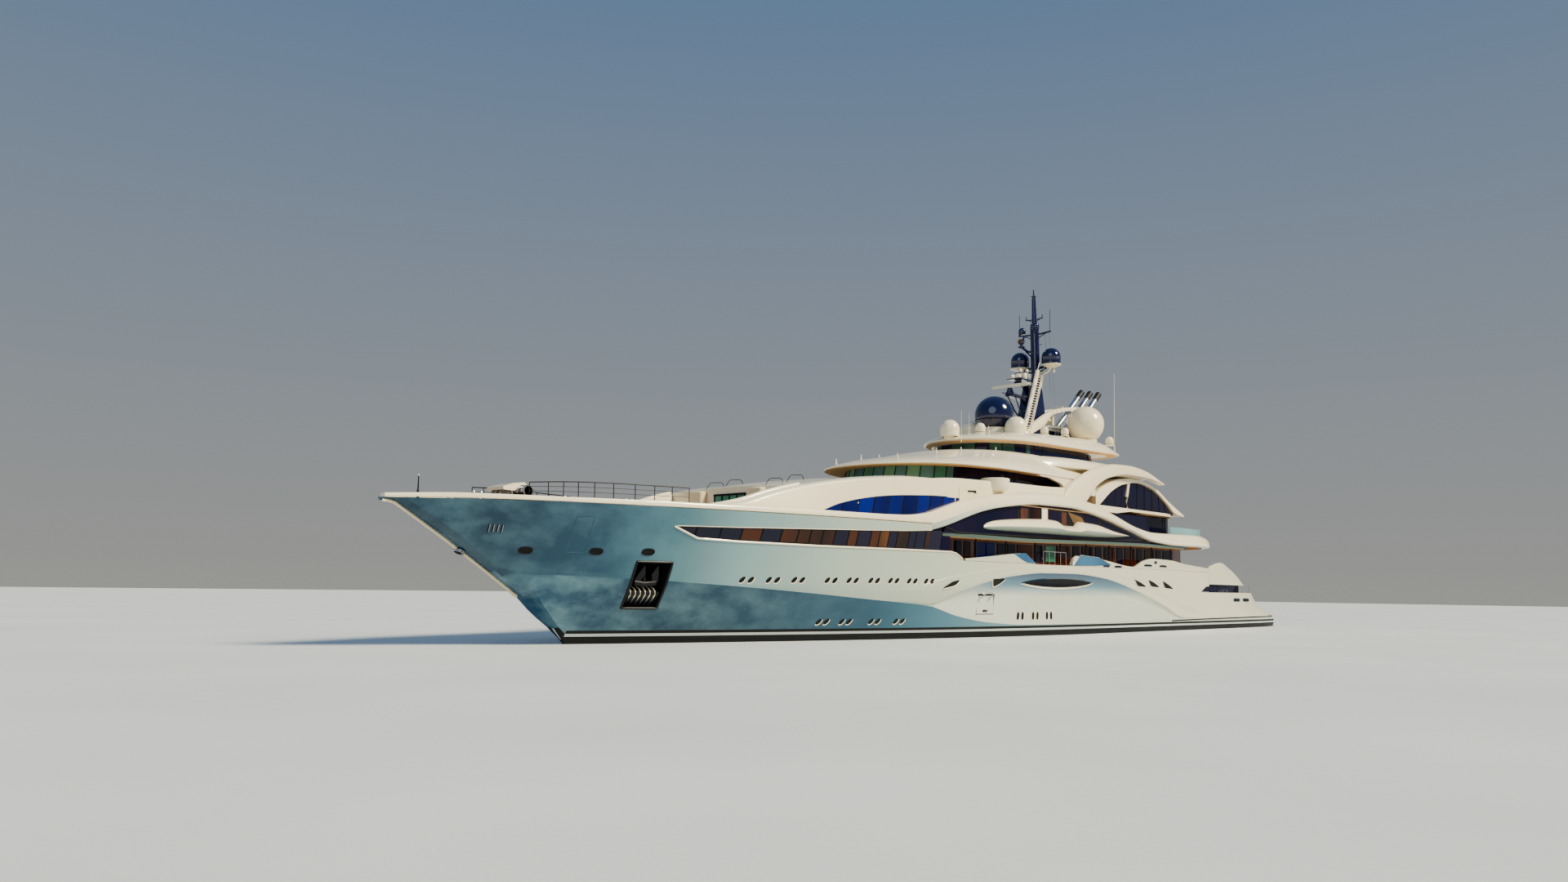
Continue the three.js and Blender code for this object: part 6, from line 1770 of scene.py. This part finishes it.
# Anchors in their pockets, above a ribbed chute
FLUKES = [(45.1, 44.95), (43.85, 44.05)]
FLUKE_ROWS = [  # height, half-lengths and lifts of the outer and the inner edge
    (4.15, 0.2, 0.2, -0.3, -0.55), (4.65, 0.24, 0.2, -0.25, -0.36), (5.2, 0.02, 0.02, -0.2, -0.24),
]
CHUTE_FORE = 45.5
CHUTE_AFT = 43.35
CHUTE = [(3.85, -0.9), (3.7, -0.5), (3.5, -0.22), (3.3, -0.12), (3.1, -0.2), (2.55, -0.45)]
for name, side in SIDES:
    place = placer(side, skin_y)
    anchor = Sheets("dark")
    anchor.rod([place(44.55, 5.2, -1.0), place(44.5, 4.2, -0.5)], 0.15, sides=12)
    anchor.rod([place(45.2, 4.12, -0.42), place(44.5, 4.02, -0.38), place(43.75, 4.12, -0.42)], 0.2,
               sides=12)
    for fluke, tip in FLUKES:
        rings = []
        for x, (z, outer, inner, near, far) in zip((fluke, tip, tip), FLUKE_ROWS):
            rings.append([
                place(x + outer, z, near), place(x - outer, z, near), place(x - inner, z, far),
                place(x + inner, z, far),
            ])
        anchor.loft(rings)
    anchor.loft([
        [place(CHUTE_FORE, z, lift), place(CHUTE_AFT, z, lift), place(CHUTE_AFT, z, lift - 0.2),
         place(CHUTE_FORE, z, lift - 0.2)]
        for z, lift in CHUTE
    ])
    for x in spread(43.65, 45.3, 5):
        anchor.rod([place(x + (z - 3.3) * 0.04, z, lift + 0.03) for z, lift in CHUTE[:5]], 0.045, "white")
        anchor.rod([place(x - 0.02, 3.1, -0.16), place(x - 0.05, 2.5, -0.42)], 0.035, "steel", 6)
    anchor.skin(f"anchor_{name}", "dark_steel")


# Foredeck gear: windlasses under their cover, capstans and bollards
DECK_FOOT = FOREDECK + GAP
WINDLASS_X = 52.5
WINDLASS_Z = DECK_FOOT + 0.72
WINDLASS_COVER = [(53.75, 9.75, 9.95), (53.0, 9.72, 10.2), (52.2, 9.72, 10.3), (51.75, 9.72, 10.05)]
CAPSTAN = [(0.3, 0), (0.3, 0.06), (0.17, 0.1), (0.15, 0.4), (0.22, 0.46), (0.2, 0.5)]
BOLLARD = [(0.1, 0), (0.09, 0.36), (0.14, 0.4), (0.12, 0.46)]
gear = Sheets("steel")


def gear_axle(near, far, r):
    gear.rod([(WINDLASS_X, near, WINDLASS_Z), (WINDLASS_X, far, WINDLASS_Z)], r, sides=24)


gear.box(WINDLASS_X, 0, DECK_FOOT, 2, 4.4, 0.2, "dark", 0.3)
for _, side in SIDES:
    gear.box(WINDLASS_X, side * 1.15, DECK_FOOT + 0.1, 0.5, 0.5, 0.5, bevel=0.3)
    gear_axle(side * 0.6, side * 1.8, 0.3)
    for y in (0.62, 1.15, 1.72):
        gear_axle(side * y, side * (y + 0.08), 0.4)
    gear.lathe(50.4, side * 2.6, DECK_FOOT - 0.01, CAPSTAN, sides=24)
    for x in (55.9, 46.8, 44.6):
        y = side * (deck_edge(x) - 1.1)
        gear.box(x, y, DECK_FOOT - 0.01, 0.9, 0.34, 0.06, bevel=0.4)
        for step in (-0.26, 0.26):
            gear.lathe(x + step, y, DECK_FOOT, BOLLARD, sides=16)
gear.loft([
    [(x, 0.95, low), (x, 0.9, high), (x, -0.9, high), (x, -0.95, low)] for x, low, high in WINDLASS_COVER
], "white")
gear.build("windlass_gear", slot="steel", replaces=("windlasses",))

# Fore hatch and its coaming
HATCH_X = 48
coaming = Sheets("white")
coaming.box(HATCH_X, 0, DECK_FOOT - 0.02, 1.44, 1.44, 0.045, bevel=0.3)
coaming.box(HATCH_X, 0, DECK_FOOT + 0.02, 1.16, 1.16, 0.01, "seam")
coaming.build("fore_hatch_coaming", slot="white_paint")
hatch = Sheets("white")
hatch.box(HATCH_X, 0, DECK_FOOT + 0.08, 1.6, 1.6, 0.16, bevel=0.45)
hatch.box(HATCH_X, 0, DECK_FOOT + 0.235, 1.1, 1.1, 0.012, "glass", 0.4)
for y in (-0.5, 0.5):
    hatch.box(HATCH_X + 0.7, y, DECK_FOOT + 0.23, 0.14, 0.2, 0.04, "steel", 0.3)
hatch.build("fore_hatch_lid", body="fore_hatch", slot="white_paint", replaces=("fore_hatch",))

# Jackstaff
staff = Sheets("dark")
staff.lathe(59, 0, 8.85, [(0.16, 0), (0.16, 0.06), (0.08, 0.1), (0.07, 0.5), (0.05, 0.55)], sides=16)
staff.rod([(59, 0, 9.3), (58.98, 0, 10.25)], 0.045, sides=10, end_r=0.03)
staff.lathe(58.98, 0, 10.22, [(0.03, 0), (0.06, 0.03), (0.05, 0.08), (0.01, 0.1)], "white", 12)
staff.skin("jackstaff", "dark_steel")


# Bullnose fairlead through the stem, and a cream bar down the stem that is a painted highlight along its
# lit edge
def stem_place(out, up, lift):
    """A place on the stem: out to port, up along it and off it."""
    x, z = BULLNOSE
    run = Vector((2.6, 0, 1.69)).normalized()
    off = Vector((1.69, 0, -2.6)).normalized()
    return tuple(Vector((x, out, z)) + up * run + lift * off)


STEM_BAR_LIFT = 0.03
STEM_BAR_R = 0.1
nose = Sheets("steel")
ring = [(0.42 * u, 0.24 * v) for u, v in circle(28)]
nose.patch([(u * 0.9, v * 0.9) for u, v in ring], stem_place, 0.14, "seam", -0.25, 3)
for lift in (0.02, 0.12):
    nose.rod([stem_place(u, v, lift) for u, v in ring + ring[:1]], 0.05)
nose.build("stem_fairlead", slot="steel")
stem = Sheets("cream")
stem.rod([(x, 0, bottom_line(x) + STEM_BAR_LIFT) for x in spread(61.25, 51.95, 24)], STEM_BAR_R, sides=10)
stem.build("stem_painted_highlight", slot="white_paint")

# Foredeck rails: thin lines on closely set posts
RAIL_POSTS = (53.4, 52.3, 51.4, 50.5, 49.5, 48.3, 46.9, 45.6, 44.4, 43.2)
RAIL_LINES = ((0.36, 0.016), (0.68, 0.016), (1, 0.034))
rail_top = smooth([(53.4, 10.1), (52.3, 10.18), (50.5, 10.28), (48.3, 10.32), (43.2, 10.33)])
for name, side in SIDES:
    rails = Sheets("dark")

    def rail_place(x, share):
        return (x, side * (deck_edge(x) - 0.3), mix(band_high(x) - 0.01, rail_top(x), share))

    for share, r in RAIL_LINES:
        rails.rod([rail_place(x, share) for x in RAIL_POSTS], r)
    for x in RAIL_POSTS:
        rails.rod([rail_place(x, 0), rail_place(x, 1)], 0.026)
    rails.skin(f"foredeck_rail_{name}", "dark_steel")


def railing(sheets, line, foot, head, post_r):
    """A rail over a line of (x, y), on a post at each of its points."""
    sheets.rod([(x, y, head) for x, y in line], 0.03, "steel")
    for x, y in line:
        sheets.rod([(x, y, foot), (x, y, head)], post_r, "steel", 6)


# Slots, glass wedges and fittings of the wing and quarter bulwarks
BULWARK_SLOTS = [(-6.58, -7.89, 6.4), (-8.89, -10.41, 6.38), (-15.19, -17.03, 6.66), (-18.72, -20.45, 6.66)]
AFT_WEDGE = [(-0.75, 6.28), (-2.2, 7.28), (-4, 7.24), (-5.6, 7.16), (-8.2, 6.5), (-5, 6.36)]
WING_WEDGE = [(5.7, 6.3), (7.4, 7.16), (9.2, 7.05), (8.0, 6.6), (7.2, 6.36)]
for name, side in SIDES:
    trims = Sheets("sky_glass")
    place = placer(side, bulwark_outer_at)
    for wedge in (AFT_WEDGE, WING_WEDGE):
        trims.patch(wedge, place, 0.03, rings=2)
    trims.rod([place(x, z, 0.03) for x, z in AFT_WEDGE[:2] + AFT_WEDGE[3:5]], 0.03, "steel", 6)
    # Each slot through the bulwark is a near-black fill of painted shade with a steel lip along its foot.
    for fore, aft, z in BULWARK_SLOTS:
        trims.patch(oval((fore + aft) / 2, z, (fore - aft) / 2, 0.11, 0), place, 0.02, "seam", rings=1)
        trims.rod([place(x, z - 0.1, 0.02) for x in spread(fore - 0.1, aft + 0.1, 4)], 0.03, "steel", 6)
    trims.rod([place(-17.5, 7.0, 0.05), place(-18.1, 7.0, 0.05)], 0.05, "seam", 6)
    trims.rod([place(-17.8, 7.15, 0.05), place(-17.8, 6.85, 0.05)], 0.06, "seam", 6)
    rail = [(x, side * (side_at(x, MAIN_DECK) - 0.5)) for x in between([3.6, -0.4], 1.0)]
    railing(trims, rail, MAIN_DECK, 7.45, 0.022)
    trims.build(f"bulwark_trims_{name}", slot="steel")


# Stern: windows in the side with their slanted end, deck edge rails and glass screens
STERN_PANE = [
    (-29.25, 4.12), (-30.5, 4.68), (-33, 4.76), (-36, 4.8), (-38.9, 4.82), (-38, 4.1), (-35, 4.1),
    (-32, 4.11),
]
SCREEN_Y = 9.18
SCREEN_TOP = 10.95
for name, side in SIDES:
    stern = Sheets("glass")
    place = placer(side, lambda x, z: side_at(x, 5))
    stern.patch(STERN_PANE, place, 0.02, rings=3)
    for x in (-31.2, -33.4, -35.6):
        stern.rod([place(x, 4.12, 0.03), place(x - 0.25, 4.76, 0.03)], 0.025, "seam", 6)
    stations = between([-23.2, -31], 1.3)
    outer = side * SCREEN_Y
    inner = outer - side * 0.04
    stern.loft([
        [
            (x, outer, upper_top(x) + 0.08), (x, inner, upper_top(x) + 0.08), (x, inner, SCREEN_TOP),
            (x, outer, SCREEN_TOP),
        ]
        for x in stations
    ], "clear")
    stern.rod([(x, outer, SCREEN_TOP + 0.05) for x in stations], 0.035, "steel")
    for x in stations:
        y = outer - side * 0.06
        stern.rod([(x, y, upper_top(x)), (x, y, SCREEN_TOP + 0.05)], 0.025, "steel", 6)
    edge = [(x, side * (stern_limit(x, STERN_DECK) - 0.22)) for x in between([-42.4, -46.1], 0.9)]
    railing(stern, edge, STERN_DECK - 0.02, STERN_DECK + 1.0, 0.025)
    stern.build(f"stern_trims_{name}", slot="steel")

# Boot lines across the flat of the stern
TRANSOM_HALF = 1.2
transom = Sheets("boot")
TRANSOM_ROWS = [
    (0.42, BOOT_TOP, "boot"), (BOOT_TOP, STRIPE_TOP, "stripe"), (STRIPE_TOP, LINE_TOP, "boot"),
]
for low, high, look in TRANSOM_ROWS:
    transom.box(STERN, 0, low, 0.03, 2 * TRANSOM_HALF, high - low, look)
transom.build("transom_lines", slot="hull_paint")

# Dark glass block behind the stern's side windows, teak on top
lights = Sheets("teak")
deck_slab(lights, between([-31.4, -40.5], 1.0), lambda x: side_at(x, 5) - 0.15, lambda x: STERN_DECK + GAP,
          lambda x: 4.9 - 2 * GAP, "teak", "night_glass", "white")
lights.build("stern_lights", slot="dark_glass", replaces=("stern_windows",))

# Side doors: a handle and hinge eyes on each moving leaf, brackets on the hull
PIVOT_Y = 9.68
PIVOT_Z = 3.46
EYE_R = 0.075
HINGE_R = 0.03
HINGE_HALF = 0.1
BRACKET_HEAD = 3.75
LEAF_INSET = 0.27
LEAF_LEVEL = 2.7
for name, side in SIDES:
    place = placer(side, lambda x, z: side_at(x, LEAF_LEVEL) - LEAF_INSET)
    leaf = Sheets("steel")
    leaf.patch(square(12.7, 12.1, 2.1, 2.3), place, 0.012, "seam", 0.0, 1)
    leaf.rod([place(12.6, 2.2, 0.03), place(12.2, 2.2, 0.03)], 0.02)
    bracket = Sheets("steel")
    for x in (11.75, 13.05):
        leaf.loop([(x, side * (PIVOT_Y + EYE_R * u), PIVOT_Z + EYE_R * v) for u, v in circle(12)], 0.022)
        eye_side = (x, side * (PIVOT_Y - EYE_R), PIVOT_Z)
        leaf.rod([place(x, 3.2, -0.02), place(x, 3.3, 0.1), eye_side], HINGE_R)
        ends = (x - HINGE_HALF, x + HINGE_HALF)
        bracket.rod([(end, side * PIVOT_Y, PIVOT_Z) for end in ends], HINGE_R)
        for end in ends:
            head = (end, side * (skin_y(end, BRACKET_HEAD) - 0.05), BRACKET_HEAD)
            bracket.rod([(end, side * PIVOT_Y, PIVOT_Z - HINGE_R), head], HINGE_R)
    leaf.build(f"side_door_{name}_handle", body=f"side_door_{name}", slot="steel")
    bracket.build(f"side_door_{name}_brackets", slot="steel")


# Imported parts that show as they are, each with its finish
NODE_LOOKS = {
    "glass": ["main_deck_windows", "upper_deck_house"],
    "joinery": ["main_deck_house"],
    "steel": ["shaft_port", "shaft_starboard", "shaft_bracket_port", "shaft_bracket_starboard"],
    "bronze": ["propeller_port", "propeller_starboard", "bow_thruster"],
    "bottom": ["rudder_port", "rudder_starboard", "fin_port", "fin_starboard"],
    "dark": ["engines"],
    # The side doors take the scoop's paint with its painted shade.
    "scoop": ["side_door_port", "side_door_starboard"],
    "hull_high": ["stern_door"],
}
for look, nodes in NODE_LOOKS.items():
    for node in nodes:
        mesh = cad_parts[node].data
        mesh.materials.clear()
        mesh.materials.append(LOOKS[look])


# The floor at the waterline, the light and the sky
FLOOR_HALF = 60.0
SKY_STOPS = ((0.0, 0xd6d6d0), (0.5, 0x8fb0d8))
SKY_STRENGTH = 0.45
SUNS = [  # name, azimuth, height, strength, width of its disc, colour
    ("key", 112, 40, 4.6, 14.0, (1.0, 0.9, 0.68)), ("fill", 20, 25, 0.5, 40.0, (0.8, 0.9, 1.0)),
]


def add_floor():
    mesh = bpy.data.meshes.new("floor")
    corners = [(u * FLOOR_HALF, v * FLOOR_HALF, 0) for u, v in ((-1, -1), (1, -1), (1, 1), (-1, 1))]
    mesh.from_pydata(corners, [], [(0, 1, 2, 3)])
    look = Look("floor", 0xdfe2e2, 0.55)
    look.feed("Base Color", look.ramp(look.noise(0.6), [(0.3, 0xdadddd), (0.7, 0xe3e6e6)]))
    mesh.materials.append(look.material)
    floor = bpy.data.objects.new("floor", mesh)
    bpy.context.scene.collection.objects.link(floor)


def add_sun(name, azimuth, elevation, strength, angle, colour):
    data = bpy.data.lights.new(name, "SUN")
    data.energy = strength
    data.angle = math.radians(angle)
    data.color = colour
    sun = bpy.data.objects.new(name, data)
    a, e = math.radians(azimuth), math.radians(elevation)
    towards = Vector((math.cos(a) * math.cos(e), math.sin(a) * math.cos(e), math.sin(e)))
    sun.rotation_euler = towards.to_track_quat("Z", "Y").to_euler()
    bpy.context.scene.collection.objects.link(sun)


def add_sky():
    world = bpy.data.worlds.new("sky")
    bpy.context.scene.world = world
    world.use_nodes = True
    nodes = world.node_tree.nodes
    links = world.node_tree.links
    place = nodes.new("ShaderNodeTexCoord")
    parts = nodes.new("ShaderNodeSeparateXYZ")
    ramp = nodes.new("ShaderNodeValToRGB")
    for element, (at, colour) in zip(ramp.color_ramp.elements, SKY_STOPS):
        element.position = at
        element.color = linear(colour)
    links.new(place.outputs["Generated"], parts.inputs["Vector"])
    links.new(parts.outputs["Z"], ramp.inputs["Fac"])
    links.new(ramp.outputs["Color"], nodes["Background"].inputs["Color"])
    nodes["Background"].inputs["Strength"].default_value = SKY_STRENGTH


add_floor()
add_sky()
for sun_values in SUNS:
    add_sun(*sun_values)
bpy.context.scene.view_settings.look = "AgX - Medium High Contrast"
